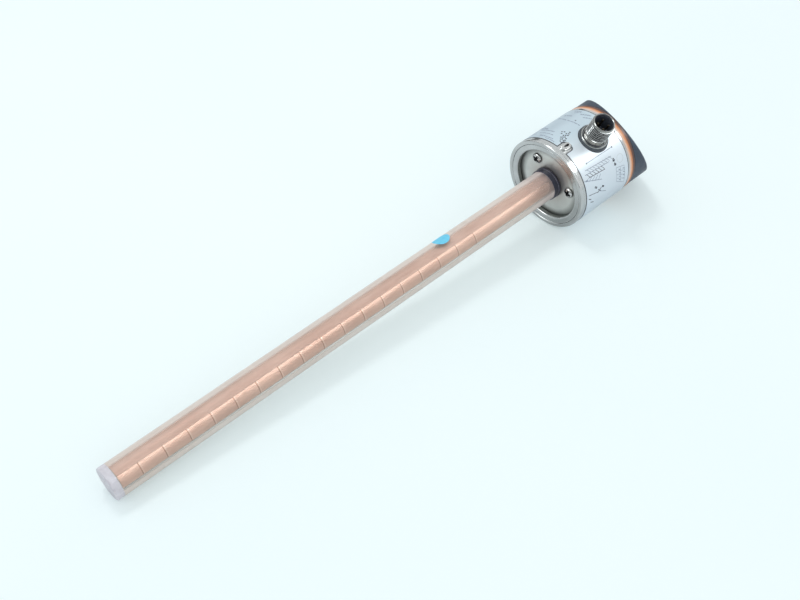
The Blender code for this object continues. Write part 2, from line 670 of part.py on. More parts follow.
def build_connector_insert():
    """The moulding that holds the pins, with the key that a plug lines up on."""
    outline = rod_outline(INSERT_TOP, CONNECTOR_SHANK_END, CONNECTOR_BORE_RADIUS - GAP)
    frame = connector_matrix()
    insert = turned("connector_insert", outline, STEPS_CONNECTOR, sensor, dark_plastic, frame)
    wall = CONNECTOR_BORE_RADIUS - GAP
    key_size = (INSERT_KEY_WIDTH, INSERT_KEY_WIDTH, INSERT_KEY_HEIGHT)
    key_middle = (0.0, wall - INSERT_KEY_WIDTH, INSERT_TOP + INSERT_KEY_HEIGHT / 2 - GAP)
    key = box_mesh("insert_key", key_size, key_middle)
    combine(insert, add_cutter("insert_key", key, sensor, frame), "UNION")
    for number in range(1, PIN_COUNT + 1):
        hole = rod_outline(INSERT_TOP + PIN_RADIUS, CONNECTOR_SHANK_END - PIN_RADIUS, PIN_RADIUS + GAP)
        tool = turned_cutter(f"pin_hole_{number}", hole, STEPS_SMALL, sensor, pin_matrix(number))
        combine(insert, tool)


def pin_matrix(number):
    angle = 2 * math.pi * (number - 0.5) / PIN_COUNT
    outward = Matrix.Translation((PIN_CIRCLE_RADIUS, 0, 0))
    return connector_matrix() @ Matrix.Rotation(angle, 4, "Z") @ outward


def build_pins():
    for number in range(1, PIN_COUNT + 1):
        outline = [(PIN_TOP, 0.0), (PIN_TOP, PIN_RADIUS - PIN_EDGE), (PIN_TOP - PIN_EDGE, PIN_RADIUS)]
        outline += [(PIN_BOTTOM, PIN_RADIUS), (PIN_BOTTOM, 0.0)]
        turned(f"contact_pin_{number}", outline, STEPS_SMALL, sensor, gold, pin_matrix(number))


# Ring and cover

def build_accent_ring():
    """The coloured ring between can and cover, with a spigot that fits inside the can."""
    spigot = CAN_INNER - GAP
    spigot_end = RING_FRONT + RING_SPIGOT_LENGTH
    outline = [(spigot_end, RING_INNER), (spigot_end, spigot), (RING_FRONT, spigot)]
    outline += [(RING_FRONT, RING_RADIUS), (RING_BACK, RING_RADIUS), (RING_BACK, RING_INNER)]
    turned("accent_ring", outline, STEPS_LARGE, sensor, orange)


def build_cover():
    """The round cover: a slanted cup with a skirt, posts for its board, a window and two holes."""
    shell = mesh_from("cover", slanted_cylinder(COVER_RADIUS, 0.0, edge_round=COVER_EDGE_ROUND))
    cover = add_object("cover", shell, sensor, black_plastic)
    skirt = rod_outline(COVER_BASE + COVER_SKIRT_LENGTH, COVER_BASE - COVER_LOW_HEIGHT / 2, SKIRT_OUTER)
    combine(cover, turned_cutter("cover_skirt", skirt, STEPS_LARGE, sensor), "UNION")
    combine(cover, hollow_cutter())
    pocket_radius = COVER_RADIUS - FACE_POCKET_MARGIN
    pocket = slanted_cylinder(pocket_radius, FACE_POCKET_DEPTH, keep_outside=True)
    combine(cover, add_cutter("face_pocket", mesh_from("face_pocket", pocket), sensor))
    add_posts(cover)
    cut_window(cover)
    for name, place in BUTTON_PLACES.items():
        hole = rod_outline(COVER_WALL, -2 * COVER_WALL, BUTTON_RADIUS + GAP)
        combine(cover, turned_cutter(f"{name}_hole", hole, STEPS_CONNECTOR, face, on_face(*place)))


def hollow_cutter():
    """The cover's inside: narrow in the skirt, wide above its ledge, ended by the slanted wall."""
    mouth = COVER_BASE + 2 * COVER_SKIRT_LENGTH
    ledge = COVER_BASE - COVER_LEDGE
    far = COVER_BASE - 4 * COVER_RADIUS
    wide = COVER_RADIUS - COVER_WALL
    outline = [(mouth, 0.0), (mouth, SKIRT_INNER), (ledge, SKIRT_INNER), (ledge, wide)]
    outline += [(far, wide), (far, 0.0)]
    hollow = turned_cutter("cover_hollow", outline, STEPS_LARGE, sensor)
    size = 6 * COVER_RADIUS
    block = box_mesh("slanted_wall", (size, size, size), (0.0, 0.0, size / 2 - COVER_WALL))
    combine(hollow, add_cutter("slanted_wall", block, face))
    return hollow


def on_face(across, uphill):
    return Matrix.Translation((across, uphill, 0.0))


def add_posts(cover):
    """Posts under the face that the display board is screwed to."""
    for number, place in enumerate(POST_PLACES, 1):
        post = rod_outline(-COVER_WALL / 2, BOARD_TOP + GAP, POST_RADIUS)
        combine(cover, turned_cutter(f"post_{number}", post, STEPS_SMALL, face, on_face(*place)), "UNION")
    for number, place in enumerate(POST_PLACES, 1):
        hole = rod_outline(-COVER_WALL - GAP, BOARD_TOP - POST_RADIUS, BOARD_SCREW_RADIUS + GAP)
        combine(cover, turned_cutter(f"post_hole_{number}", hole, STEPS_SMALL, face, on_face(*place)))


def cut_window(cover):
    """The stepped opening that the display window rests in."""
    seat = -FACE_POCKET_DEPTH - WINDOW_THICKNESS - GAP
    outer = slab_mesh("window_seat", WINDOW_WIDTH, WINDOW_HEIGHT, WINDOW_CORNER, seat, COVER_WALL)
    combine(cover, add_cutter("window_seat", outer, face, on_face(0.0, WINDOW_CENTRE)))
    width, height = WINDOW_WIDTH - 2 * WINDOW_STEP, WINDOW_HEIGHT - 2 * WINDOW_STEP
    inner = slab_mesh("window_hole", width, height, WINDOW_CORNER / 2, -2 * COVER_WALL, COVER_WALL)
    combine(cover, add_cutter("window_hole", inner, face, on_face(0.0, WINDOW_CENTRE)))


def build_window():
    top = -FACE_POCKET_DEPTH
    width, height = WINDOW_WIDTH - 2 * GAP, WINDOW_HEIGHT - 2 * GAP
    mesh = slab_mesh("display_window", width, height, WINDOW_CORNER - GAP / 2, top - WINDOW_THICKNESS, top)
    add_object("display_window", mesh, face, smoked_plastic, on_face(0.0, WINDOW_CENTRE))


def build_display_board():
    bottom = BOARD_TOP - BOARD_THICKNESS
    mesh = slab_mesh("display_board", BOARD_WIDTH, BOARD_HEIGHT, BOARD_CORNER, bottom, BOARD_TOP)
    board = add_object("display_board", mesh, face, board_green, on_face(0.0, BOARD_CENTRE))
    for number, place in enumerate(POST_PLACES, 1):
        hole = rod_outline(BOARD_TOP + BOARD_THICKNESS, bottom - BOARD_THICKNESS, BOARD_SCREW_RADIUS + GAP)
        combine(board, turned_cutter(f"board_hole_{number}", hole, STEPS_SMALL, face, on_face(*place)))


def build_board_screws():
    under = BOARD_TOP - BOARD_THICKNESS - GAP
    for number, place in enumerate(POST_PLACES, 1):
        tip = under + BOARD_SCREW_LENGTH
        head = under - BOARD_SCREW_HEAD_HEIGHT
        outline = [(tip, 0.0), (tip, BOARD_SCREW_RADIUS), (under, BOARD_SCREW_RADIUS)]
        outline += [(under, BOARD_SCREW_HEAD_RADIUS), (head, BOARD_SCREW_HEAD_RADIUS), (head, 0.0)]
        turned(f"board_screw_{number}", outline, STEPS_SMALL, face, bright_steel, on_face(*place))


def build_display_module():
    """The digit block on the display board, just under the window's opening."""
    top = -COVER_WALL - GAP
    mesh = slab_mesh("display_module", DISPLAY_WIDTH, DISPLAY_HEIGHT, GAP, BOARD_TOP + GAP, top)
    add_object("display_module", mesh, face, display_red, on_face(0.0, WINDOW_CENTRE))


def build_buttons():
    for name, place in BUTTON_PLACES.items():
        slot = empty(f"{name}_axis", face, on_face(*place))
        flange_top = -COVER_WALL - GAP
        flange_end = flange_top - BUTTON_FLANGE_THICKNESS
        stem_end = BOARD_TOP + GAP + SWITCH_HEIGHT + BUTTON_TRAVEL + GAP
        outline = [(BUTTON_PROUD, 0.0), (BUTTON_PROUD, BUTTON_RADIUS - BUTTON_ROUND)]
        outline += [(BUTTON_PROUD - BUTTON_ROUND, BUTTON_RADIUS), (flange_top, BUTTON_RADIUS)]
        outline += [(flange_top, BUTTON_FLANGE_RADIUS), (flange_end, BUTTON_FLANGE_RADIUS)]
        outline += [(flange_end, PLUNGER_RADIUS), (stem_end, PLUNGER_RADIUS), (stem_end, 0.0)]
        turned(name, outline, STEPS_CONNECTOR, slot, grey_plastic, Matrix())


def build_switches():
    """A small push switch on the board under each button."""
    for number, place in enumerate(BUTTON_PLACES.values(), 1):
        top = BOARD_TOP + GAP + SWITCH_HEIGHT
        mesh = slab_mesh(f"tact_switch_{number}", SWITCH_SIZE, SWITCH_SIZE, GAP, BOARD_TOP + GAP, top)
        add_object(f"tact_switch_{number}", mesh, face, dark_plastic, on_face(*place))


def build_sensor():
    build_can()
    build_base_plate()
    build_plate_screws()
    build_lug()
    build_probe_tube()
    build_probe_core()
    build_segment_foil()
    build_shield_foil()
    build_collar()
    build_flange_gasket()
    build_board_carrier()
    build_main_board()
    build_electronics_module()
    build_connector_body()
    build_connector_gasket()
    build_connector_nut()
    build_connector_insert()
    build_pins()
    build_accent_ring()
    build_cover()
    build_window()
    build_display_board()
    build_board_screws()
    build_display_module()
    build_buttons()
    build_switches()


clear_scene()
parts = new_collection("liquid_level_sensor")
cutters = new_collection("cutters")
steel = material("steel", (0.62, 0.63, 0.63), 0.3, 1.0)
plate_steel = material("plate_steel", (0.5, 0.5, 0.5), 0.42, 1.0)
bright_steel = material("bright_steel", (0.7, 0.7, 0.7), 0.22, 1.0)
nickel = material("nickel", (0.66, 0.66, 0.64), 0.2, 1.0)
gold = material("gold", (0.83, 0.62, 0.25), 0.25, 1.0)
copper = material("copper", (0.78, 0.5, 0.38), 0.4, 1.0)
clear_plastic = material("clear_plastic", (0.78, 0.8, 0.77), 0.3)
white_plastic = material("white_plastic", (0.8, 0.8, 0.77), 0.5)
rubber = material("rubber", (0.03, 0.035, 0.045), 0.7)
orange = material("orange", (0.8, 0.3, 0.08), 0.45)
black_plastic = material("black_plastic", (0.035, 0.045, 0.06), 0.45)
dark_plastic = material("dark_plastic", (0.04, 0.045, 0.05), 0.6)
grey_plastic = material("grey_plastic", (0.25, 0.26, 0.28), 0.5)
smoked_plastic = material("smoked_plastic", (0.06, 0.03, 0.03), 0.12)
display_red = material("display_red", (0.25, 0.05, 0.05), 0.4)
board_green = material("board_green", (0.03, 0.2, 0.1), 0.5)

sensor = empty("sensor_axis", None, resting_matrix())
face = empty("face_axis", sensor, face_matrix())
build_sensor()
centre_over_origin(sensor)
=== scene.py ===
"""Looks of the liquid level sensor.

Pieces are built along the sensor's own axis: +X towards the probe's tip, x = 0 at the rim, +Z
through the plug connector. Angles go round that axis from the connector. Lengths are in metres.
"""
import json
import math

import bmesh
import bpy
from mathutils import Matrix, Vector, noise


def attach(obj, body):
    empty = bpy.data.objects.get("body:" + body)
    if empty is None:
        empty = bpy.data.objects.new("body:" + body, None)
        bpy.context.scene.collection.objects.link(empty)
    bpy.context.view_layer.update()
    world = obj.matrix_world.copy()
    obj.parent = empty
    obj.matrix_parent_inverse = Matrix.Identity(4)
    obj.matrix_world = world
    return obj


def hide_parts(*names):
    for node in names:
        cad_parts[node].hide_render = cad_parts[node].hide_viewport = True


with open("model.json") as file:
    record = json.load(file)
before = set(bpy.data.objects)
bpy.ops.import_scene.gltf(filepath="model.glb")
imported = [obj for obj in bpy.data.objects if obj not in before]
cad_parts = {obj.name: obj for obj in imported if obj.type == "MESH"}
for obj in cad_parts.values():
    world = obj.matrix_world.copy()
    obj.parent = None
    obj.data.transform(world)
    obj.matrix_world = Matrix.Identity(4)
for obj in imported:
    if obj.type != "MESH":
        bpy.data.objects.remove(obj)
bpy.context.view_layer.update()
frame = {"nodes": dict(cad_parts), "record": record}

# Steps round the turned pieces
FINE = 192
MEDIUM = 96
SMALL = 48

# Gap between pieces that touch
CLEARANCE = 0.0003

# Can
RIM_RADIUS = 0.02525
RIM_FRONT = 0.00095
FOLD_END = -0.0018
OPENING_RADIUS = 0.0196
CREASE_RADIUS = 0.0229
CREASE_DEPTH = 0.0003
CAN_RADIUS = 0.0251
CAN_WALL = 0.0008
CAN_LENGTH = 0.0368
LUG_X = -0.0059
LUG_ANGLE = 9.5
LUG_SIZE = (0.0056, 0.0038)
LUG_SLOT = (0.0032, 0.0013)
LUG_TOP = 0.0262
# Heights between which a cut goes through the can's wall
WALL_CUT = (0.02, 0.03)

# Base plate and its screws
PLATE_FRONT = -0.0021
PLATE_THICKNESS = 0.0012
PLATE_RADIUS = 0.0236
PLATE_CUT = (-0.006, 0.002)
SCREW_CIRCLE = 0.01416
SCREW_ANGLES = (60.0, 180.0, 300.0)
SCREW_TURNS = (24.0, 50.0, 71.0)
SCREW_RADIUS = 0.00275
SCREW_TOP = 0.0017
SCREW_HOLE = 0.0018
SHAFT_RADIUS = 0.0015
SHAFT_END = -0.0085

# Probe
PROBE_RADIUS = 0.00796
PROBE_LENGTH = 0.264
BORE_RADIUS = 0.0062
BORE_END = 0.2604
FOIL_RADIUS = 0.0059
FOIL_THICKNESS = 0.0003
FOIL_END = 0.2598
FOIL_SEAM = -7.0
SEAM_GAP = 0.7
STRIP_ARC = 62.0
WRAP_ARC = 143.0
GROOVES = 17
FIRST_GROOVE = 0.25
GROOVE_PITCH = 0.01208
GROOVE_WIDTH = 0.0004
FLANGE_RADIUS = 0.01056
FLANGE_FRONT = -0.0049
FLANGE_BACK = -0.0087
COLLAR_BOTTOM = -0.0018
COLLAR_TOP = 0.0021
COLLAR_RADIUS = 0.0087
STICKER_X = 0.0722
STICKER_ANGLE = 48.0
STICKER_RADIUS = 0.0046

# Connector
CONNECTOR_X = -0.0225
MOUTH = 0.0392
MOUTH_RIM = 0.0051
THREAD_TOP = MOUTH - 0.0012
THREAD_RADIUS = 0.006
THREAD_PITCH = 0.00125
THREAD_DEPTH = 0.0006
THREAD_LENGTH = 0.0097
CONNECTOR_BORE = 0.0045
FLANGE_TOP = 0.0271
FLANGE_BOTTOM = 0.0262
CONNECTOR_FLANGE = 0.0073
GASKET_RADIUS = 0.0079
SHANK_RADIUS = 0.0058
SHANK_END = 0.0172

# Label
LABEL_RADIUS = 0.02522
LABEL_INNER = 0.02512
LABEL_SEAM = 181.5
LABEL_ARC = 357.0
LABEL_FRONT = -0.0031
LABEL_BACK = -0.0352
LABEL_EDGE = 0.00045
LABEL_HOLE = 0.0082
NOTCH_WIDTH = 0.0068
NOTCH_FRONT = 0.004
NOTCH_END = -0.0089
INK_LIFT = 0.000015
PRINT_WEIGHT = 1.4
DEGREE_MM = math.radians(1.0) * LABEL_RADIUS * 1000

# Ring and cover
RING_FRONT = -0.0371
RING_BACK = -0.0413
RING_RADIUS = 0.0249
COVER_BASE = -0.0416
COVER_RADIUS = 0.0247
COVER_LOW = -0.042
SLANT = math.radians(30.9)
FACE_X = COVER_LOW - COVER_RADIUS * math.tan(SLANT)
FACE_CUT = (-0.006, 0.002)
COVER_EDGE = 0.0011
POCKET_RADIUS = 0.0221
POCKET_DEPTH = 0.0004
WINDOW = (0.024, 0.0125)
WINDOW_CENTRE = 0.0062
BUTTON_RADIUS = 0.0042
BUTTON_PLACES = {"mode_button": (-0.0085, -0.0105), "set_button": (0.0085, -0.0105)}

# Room and camera
FLOOR_SIZE = 3.0
FLOOR_STEPS = 24
FLOOR_HEIGHT = -0.00003
FLOOR_GLOW = 0.3
GLOW_STRENGTH = 1.12
PANEL_SLOPE = math.radians(53.0)
CAMERA_LENS = 46.48
CAMERA_OFFSET = Vector((0.3404, 0.2647, 0.3332))
CAMERA_LOOK = Vector((-0.4771, -0.5295, -0.7014))


# Places

def sensor_matrix():
    """The sensor's own frame as it lies, from the record's two mounts."""
    mounts = {item["name"]: item for item in frame["record"]["mounts"]}
    along = Vector(mounts["seat_face"]["axis"]).normalized()
    out = Vector(mounts["connector_mouth"]["axis"])
    out = (out - along * out.dot(along)).normalized()
    side = out.cross(along)
    turn = Matrix((along, side, out)).transposed().to_4x4()
    rim_point = Vector((CONNECTOR_X, MOUTH_RIM, MOUTH))
    origin = Vector(mounts["connector_mouth"]["pos_m"]) - turn @ rim_point
    return Matrix.Translation(origin) @ turn


def about(degrees):
    return Matrix.Rotation(math.radians(degrees), 4, "X")


def point(x, degrees, radius):
    """A point by its place along the axis, its angle and its distance from the axis."""
    angle = math.radians(degrees)
    return Vector((x, -radius * math.sin(angle), radius * math.cos(angle)))


UPRIGHT = Matrix.Translation((CONNECTOR_X, 0.0, 0.0))
ALONG = Matrix.Rotation(math.pi / 2, 4, "Y")
SENSOR = sensor_matrix()


def face_matrix():
    """Frame of the slanted face: X across, Y up the slope, Z out of the face."""
    normal = Vector((-math.cos(SLANT), 0.0, math.sin(SLANT)))
    uphill = Vector((-math.sin(SLANT), 0.0, -math.cos(SLANT)))
    turn = Matrix((Vector((0.0, 1.0, 0.0)), uphill, normal)).transposed().to_4x4()
    return Matrix.Translation((FACE_X, 0.0, 0.0)) @ turn


FACE = face_matrix()
FACE_NORMAL = FACE.to_3x3() @ Vector((0.0, 0.0, 1.0))


# Colours and materials

def rgb(red, green, blue):
    """A colour as read from a picture, 0 to 255, turned into light."""
    values = []
    for value in (red, green, blue):
        part = value / 255
        values.append(part / 12.92 if part <= 0.04045 else ((part + 0.055) / 1.055) ** 2.4)
    return (*values, 1.0)


WHITE = (1.0, 1.0, 1.0, 1.0)
BLACK = (0.0, 0.0, 0.0, 1.0)


class Nodes:
    """A node tree, with short ways to add, set and join its nodes."""

    def __init__(self, tree):
        self.tree = tree

    def node(self, kind, **settings):
        made = self.tree.nodes.new(kind)
        for key, value in settings.items():
            setattr(made, key, value)
        return made

    def join(self, source, target):
        self.tree.links.new(source, target)

    def put(self, target, value):
        if isinstance(value, bpy.types.NodeSocket):
            self.join(value, target)
        else:
            target.default_value = value

    def math(self, operation, first, second=0.0, third=0.0, clamp=False):
        made = self.node("ShaderNodeMath", operation=operation, use_clamp=clamp)
        for target, value in zip(made.inputs, (first, second, third)):
            self.put(target, value)
        return made.outputs[0]

    def mix(self, factor, first, second):
        made = self.node("ShaderNodeMix", data_type="RGBA")
        self.put(made.inputs["Factor"], factor)
        self.put(made.inputs["A"], first)
        self.put(made.inputs["B"], second)
        return made.outputs["Result"]


class Paint(Nodes):
    """A Principled material with its texture nodes."""

    def __init__(self, name):
        self.material = bpy.data.materials.new(name)
        self.material.use_nodes = True
        super().__init__(self.material.node_tree)
        self.shader = self.tree.nodes["Principled BSDF"]
        self.place = self.node("ShaderNodeTexCoord").outputs["Object"]

    def set(self, **values):
        for key, value in values.items():
            self.put(self.shader.inputs[key.replace("_", " ")], value)

    def axes(self):
        split = self.node("ShaderNodeSeparateXYZ")
        self.join(self.place, split.inputs[0])
        return split.outputs

    def angle(self):
        """Angle round the sensor's axis from the connector, in degrees."""
        _, y, z = self.axes()
        turn = self.math("ARCTAN2", self.math("MULTIPLY", y, -1.0), z)
        return self.math("MULTIPLY", turn, 180.0 / math.pi)

    def scaled(self, scale):
        mapped = self.node("ShaderNodeMapping")
        mapped.inputs["Scale"].default_value = scale
        self.join(self.place, mapped.inputs["Vector"])
        return mapped.outputs[0]

    def noise(self, scale, detail=3.0, stretch=None):
        made = self.node("ShaderNodeTexNoise")
        self.join(self.scaled(stretch) if stretch else self.place, made.inputs["Vector"])
        made.inputs["Scale"].default_value = scale
        made.inputs["Detail"].default_value = detail
        made.inputs["Roughness"].default_value = 0.55
        return made.outputs["Fac"]

    def shares(self, first, second, share):
        """A share of the first value and the rest of the second."""
        return self.math("MULTIPLY_ADD", first, share, self.math("MULTIPLY", second, 1.0 - share))

    def distance(self, first, second, centre):
        """Distance from a point in the plane of two coordinates."""
        offsets = [self.math("SUBTRACT", *pair) for pair in zip((first, second), centre)]
        squares = [self.math("MULTIPLY", offset, offset) for offset in offsets]
        return self.math("SQRT", self.math("ADD", *squares))

    def ramp(self, value, *stops):
        made = self.node("ShaderNodeValToRGB")
        self.put(made.inputs[0], value)
        table = made.color_ramp
        while len(table.elements) < len(stops):
            table.elements.new(0.5)
        for element, (place, colour) in zip(table.elements, stops):
            element.position = place
            element.color = colour if isinstance(colour, tuple) else (colour, colour, colour, 1.0)
        return made.outputs[0]

    def band(self, value, low, high, soft):
        """1 between low and high, 0 outside, with soft edges."""
        above = self.math("SUBTRACT", value, low - soft / 2)
        below = self.math("SUBTRACT", high + soft / 2, value)
        up = self.math("MULTIPLY", above, 1.0 / soft, clamp=True)
        down = self.math("MULTIPLY", below, 1.0 / soft, clamp=True)
        return self.math("MULTIPLY", up, down)

    def bump(self, height, strength, distance):
        made = self.node("ShaderNodeBump")
        made.inputs["Strength"].default_value = strength
        made.inputs["Distance"].default_value = distance
        self.join(height, made.inputs["Height"])
        self.join(made.outputs[0], self.shader.inputs["Normal"])


def speckled(name, dark, light, roughness, scale, bump=0.1, **values):
    """A surface whose colour and roughness vary a little, with a fine relief."""
    paint = Paint(name)
    colour = paint.ramp(paint.noise(scale, 4.0), (0.325, rgb(*dark)), (0.675, rgb(*light)))
    shine = paint.ramp(paint.noise(scale / 6, 2.0), (0.35, roughness * 0.85), (0.65, roughness * 1.15))
    paint.set(Base_Color=colour, Roughness=shine, **values)
    paint.bump(paint.noise(scale * 2.5, 2.0), bump, 0.0001)
    return paint.material


def brushed(name, dark, light, roughness, stretch, scale=900.0, bump=0.08, **values):
    """Metal with fine lines that run across the stretched direction."""
    paint = Paint(name)
    lines = paint.noise(scale, 3.0, stretch)
    both = paint.shares(lines, paint.noise(130.0, 2.0), 0.6)
    colour = paint.ramp(both, (0.36, rgb(*dark)), (0.64, rgb(*light)))
    shine = paint.ramp(both, (0.35, roughness * 0.8), (0.65, roughness * 1.25))
    paint.set(Base_Color=colour, Roughness=shine, Metallic=1.0, **values)
    paint.bump(lines, bump, 0.00005)
    return paint.material


# Meshes

def new_piece(name, bm, finish, sharp=32.0, body="head"):
    """A finished piece with the given finish, that rides on a body."""
    mesh = finished(name, bm, sharp)
    for item in finish if isinstance(finish, list) else [finish]:
        mesh.materials.append(item)
    piece = placed(name, mesh, SENSOR)
    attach(piece, body)
    return piece


def placed(name, data, matrix=Matrix()):
    made = bpy.data.objects.new(name, data)
    bpy.context.scene.collection.objects.link(made)
    made.matrix_world = matrix
    return made


def finished(name, bm, sharp=32.0):
    bmesh.ops.recalc_face_normals(bm, faces=bm.faces)
    mesh = bpy.data.meshes.new(name)
    bm.to_mesh(mesh)
    bm.free()
    mesh.shade_smooth()
    mesh.set_sharp_from_angle(angle=math.radians(sharp))
    return mesh


def turned(outline, steps, place=ALONG, wave=None):
    """Turns an outline of (height, radius) points about the Z axis of a place.

    A wave adds to the radius by height, radius and turn, such as for a screw thread.
    """
    bm = bmesh.new()
    rings = []
    for height, radius in outline:
        if radius == 0.0:
            rings.append([bm.verts.new(place @ Vector((0.0, 0.0, height)))])
            continue
        ring = []
        for i in range(steps):
            turn = 2 * math.pi * i / steps
            reach = radius + (wave(height, radius, turn) if wave else 0.0)
            spot = Vector((reach * math.cos(turn), reach * math.sin(turn), height))
            ring.append(bm.verts.new(place @ spot))
        rings.append(ring)
    pairs = list(zip(rings, rings[1:]))
    if len(rings[0]) > 1 and len(rings[-1]) > 1:
        pairs.append((rings[-1], rings[0]))
    for low, high in pairs:
        skin(bm, low, high, steps)
    return bm


def skin(bm, low, high, steps):
    """Faces between two rings, either of which may be a single point."""
    if len(low) == 1 and len(high) == 1:
        return
    for i in range(steps):
        j = (i + 1) % steps
        if len(low) == 1:
            bm.faces.new((low[0], high[i], high[j]))
        elif len(high) == 1:
            bm.faces.new((low[i], low[j], high[0]))
        else:
            bm.faces.new((low[i], low[j], high[j], high[i]))


def rounded(corners, sizes, count):
    """An outline with each corner rounded by its own size."""
    points = []
    for i, (here, size) in enumerate(zip(corners, sizes)):
        corner = Vector(here)
        if size == 0.0:
            points.append(tuple(corner))
            continue
        before = Vector(corners[i - 1]) - corner
        after = Vector(corners[i + 1]) - corner
        reach = min(size, before.length * 0.49, after.length * 0.49)
        start, end = corner + before.normalized() * reach, corner + after.normalized() * reach
        for step in range(count + 1):
            part = step / count
            mixed = start * (1 - part) ** 2 + corner * 2 * part * (1 - part) + end * part ** 2
            points.append(tuple(mixed))
    return points


def slab(width, height, corner, bottom, top, place, edge=0.0, segments=6):
    """A plate with rounded corners and rounded upper edges."""
    bm = bmesh.new()
    outline = []
    for i, (side_x, side_y) in enumerate(((1, 1), (-1, 1), (-1, -1), (1, -1))):
        for step in range(segments + 1):
            turn = math.pi / 2 * (i + step / segments)
            outline.append((side_x * (width / 2 - corner) + corner * math.cos(turn),
                            side_y * (height / 2 - corner) + corner * math.sin(turn)))
    levels = [(bottom, 0.0)]
    for step in range(4 if edge else 1):
        part = step / 3 * math.pi / 2 if edge else 0.0
        levels.append((top - edge + edge * math.sin(part), edge * (1 - math.cos(part))))
    rings = []
    for level, inset in levels:
        shrink_x, shrink_y = 1 - 2 * inset / width, 1 - 2 * inset / height
        rings.append([bm.verts.new(place @ Vector((x * shrink_x, y * shrink_y, level)))
                      for x, y in outline])
    for low, high in zip(rings, rings[1:]):
        skin(bm, low, high, len(outline))
    bm.faces.new(rings[0])
    bm.faces.new(rings[-1])
    return bm


def sleeve(rows, start, sweep, steps, inner, outer):
    """A thin curved sheet between two radii, with a row of points at each place along the axis."""
    bm = bmesh.new()
    shells = []
    for reach in (inner, outer):
        shells.append([[bm.verts.new(point(x, start + sweep * i / steps, reach))
                        for i in range(steps + 1)] for x in rows])
    for grid in shells:
        for low, high in zip(grid, grid[1:]):
            for i in range(steps):
                bm.faces.new((low[i], low[i + 1], high[i + 1], high[i]))
    inside, outside = shells
    for row in (0, -1):
        for i in range(steps):
            bm.faces.new((inside[row][i], inside[row][i + 1], outside[row][i + 1], outside[row][i]))
    for low_in, high_in, low_out, high_out in zip(inside, inside[1:], outside, outside[1:]):
        for i in (0, -1):
            bm.faces.new((low_in[i], high_in[i], high_out[i], low_out[i]))
    return bm


def cut(piece, bm, lining=0):
    """Cuts a shape, given in the sensor's frame, out of a piece and throws the shape away.

    The new faces take the piece's material with the number of the lining.
    """
    for new_face in bm.faces:
        new_face.material_index = lining
    tool = placed("cutter", finished("cutter", bm), SENSOR)
    for item in piece.data.materials:
        tool.data.materials.append(item)
    modifier = piece.modifiers.new("cutter", "BOOLEAN")
    modifier.object = tool
    modifier.operation = "DIFFERENCE"
    modifier.solver = "EXACT"
    bpy.context.view_layer.update()
    depsgraph = bpy.context.evaluated_depsgraph_get()
    shaped = bpy.data.meshes.new_from_object(piece.evaluated_get(depsgraph), depsgraph=depsgraph)
    piece.modifiers.remove(modifier)
    shaped.name = piece.data.name
    piece.data = shaped
    shaped.shade_smooth()
    shaped.set_sharp_from_angle(angle=math.radians(32.0))
    bpy.data.objects.remove(tool, do_unlink=True)


def rod(bottom, top, radius, steps=MEDIUM, place=Matrix()):
    """A plain round body, used to cut holes."""
    outline = [(top, 0.0), (top, radius), (bottom, radius), (bottom, 0.0)]
    return turned(outline, steps, place)


# Steel head

def build_can(steel, fold):
    """The can with its rolled rim: a soft crown between two rounds, folded in to the plate."""
    land = RIM_FRONT - CREASE_DEPTH
    lip = [(FOLD_END, OPENING_RADIUS), (land, OPENING_RADIUS), (land, CREASE_RADIUS - 0.0001)]
    lip += [(land - CREASE_DEPTH, CREASE_RADIUS), (RIM_FRONT, CREASE_RADIUS + 0.0003)]
    lip += [(RIM_FRONT, RIM_RADIUS), (-0.0008, RIM_RADIUS), (-0.001, CAN_RADIUS)]
    lip += [(-CAN_LENGTH, CAN_RADIUS)]
    rounds = [0.0, 0.0013, 0.0001, 0.0, 0.0003, 0.0015, 0.0001, 0.0001, 0.0]
    inner = CAN_RADIUS - CAN_WALL
    outline = [(FOLD_END, OPENING_RADIUS + CAN_WALL)]
    outline += rounded(lip, rounds, 8)
    outline += [(-CAN_LENGTH, inner), (-0.0014, inner)]
    outline += [(0.0, inner - 0.0014), (0.0, OPENING_RADIUS + CAN_WALL)]
    bm = turned(outline, FINE)
    # Painted shade: the faces of the fold round the opening take a darker steel.
    for face in bm.faces:
        if face.calc_center_median().yz.length < OPENING_RADIUS + 0.00012:
            face.material_index = 1
    can = new_piece("steel_can", bm, [steel, fold], sharp=50.0)
    cut(can, rod(*WALL_CUT, SHANK_RADIUS + CLEARANCE, place=UPRIGHT))
    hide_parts("housing_can")


def build_plate(finish):
    back = PLATE_FRONT - PLATE_THICKNESS
    hole = PROBE_RADIUS + CLEARANCE
    outline = [(PLATE_FRONT, hole), (PLATE_FRONT, PLATE_RADIUS), (back, PLATE_RADIUS), (back, hole)]
    plate = new_piece("base_disc", turned(outline, FINE), finish)
    for angle in SCREW_ANGLES:
        cut(plate, rod(*PLATE_CUT, SCREW_HOLE, SMALL, screw_place(angle)))
    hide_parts("base_plate")


def screw_place(angle):
    return about(angle) @ Matrix.Translation((0.0, 0.0, SCREW_CIRCLE)) @ ALONG


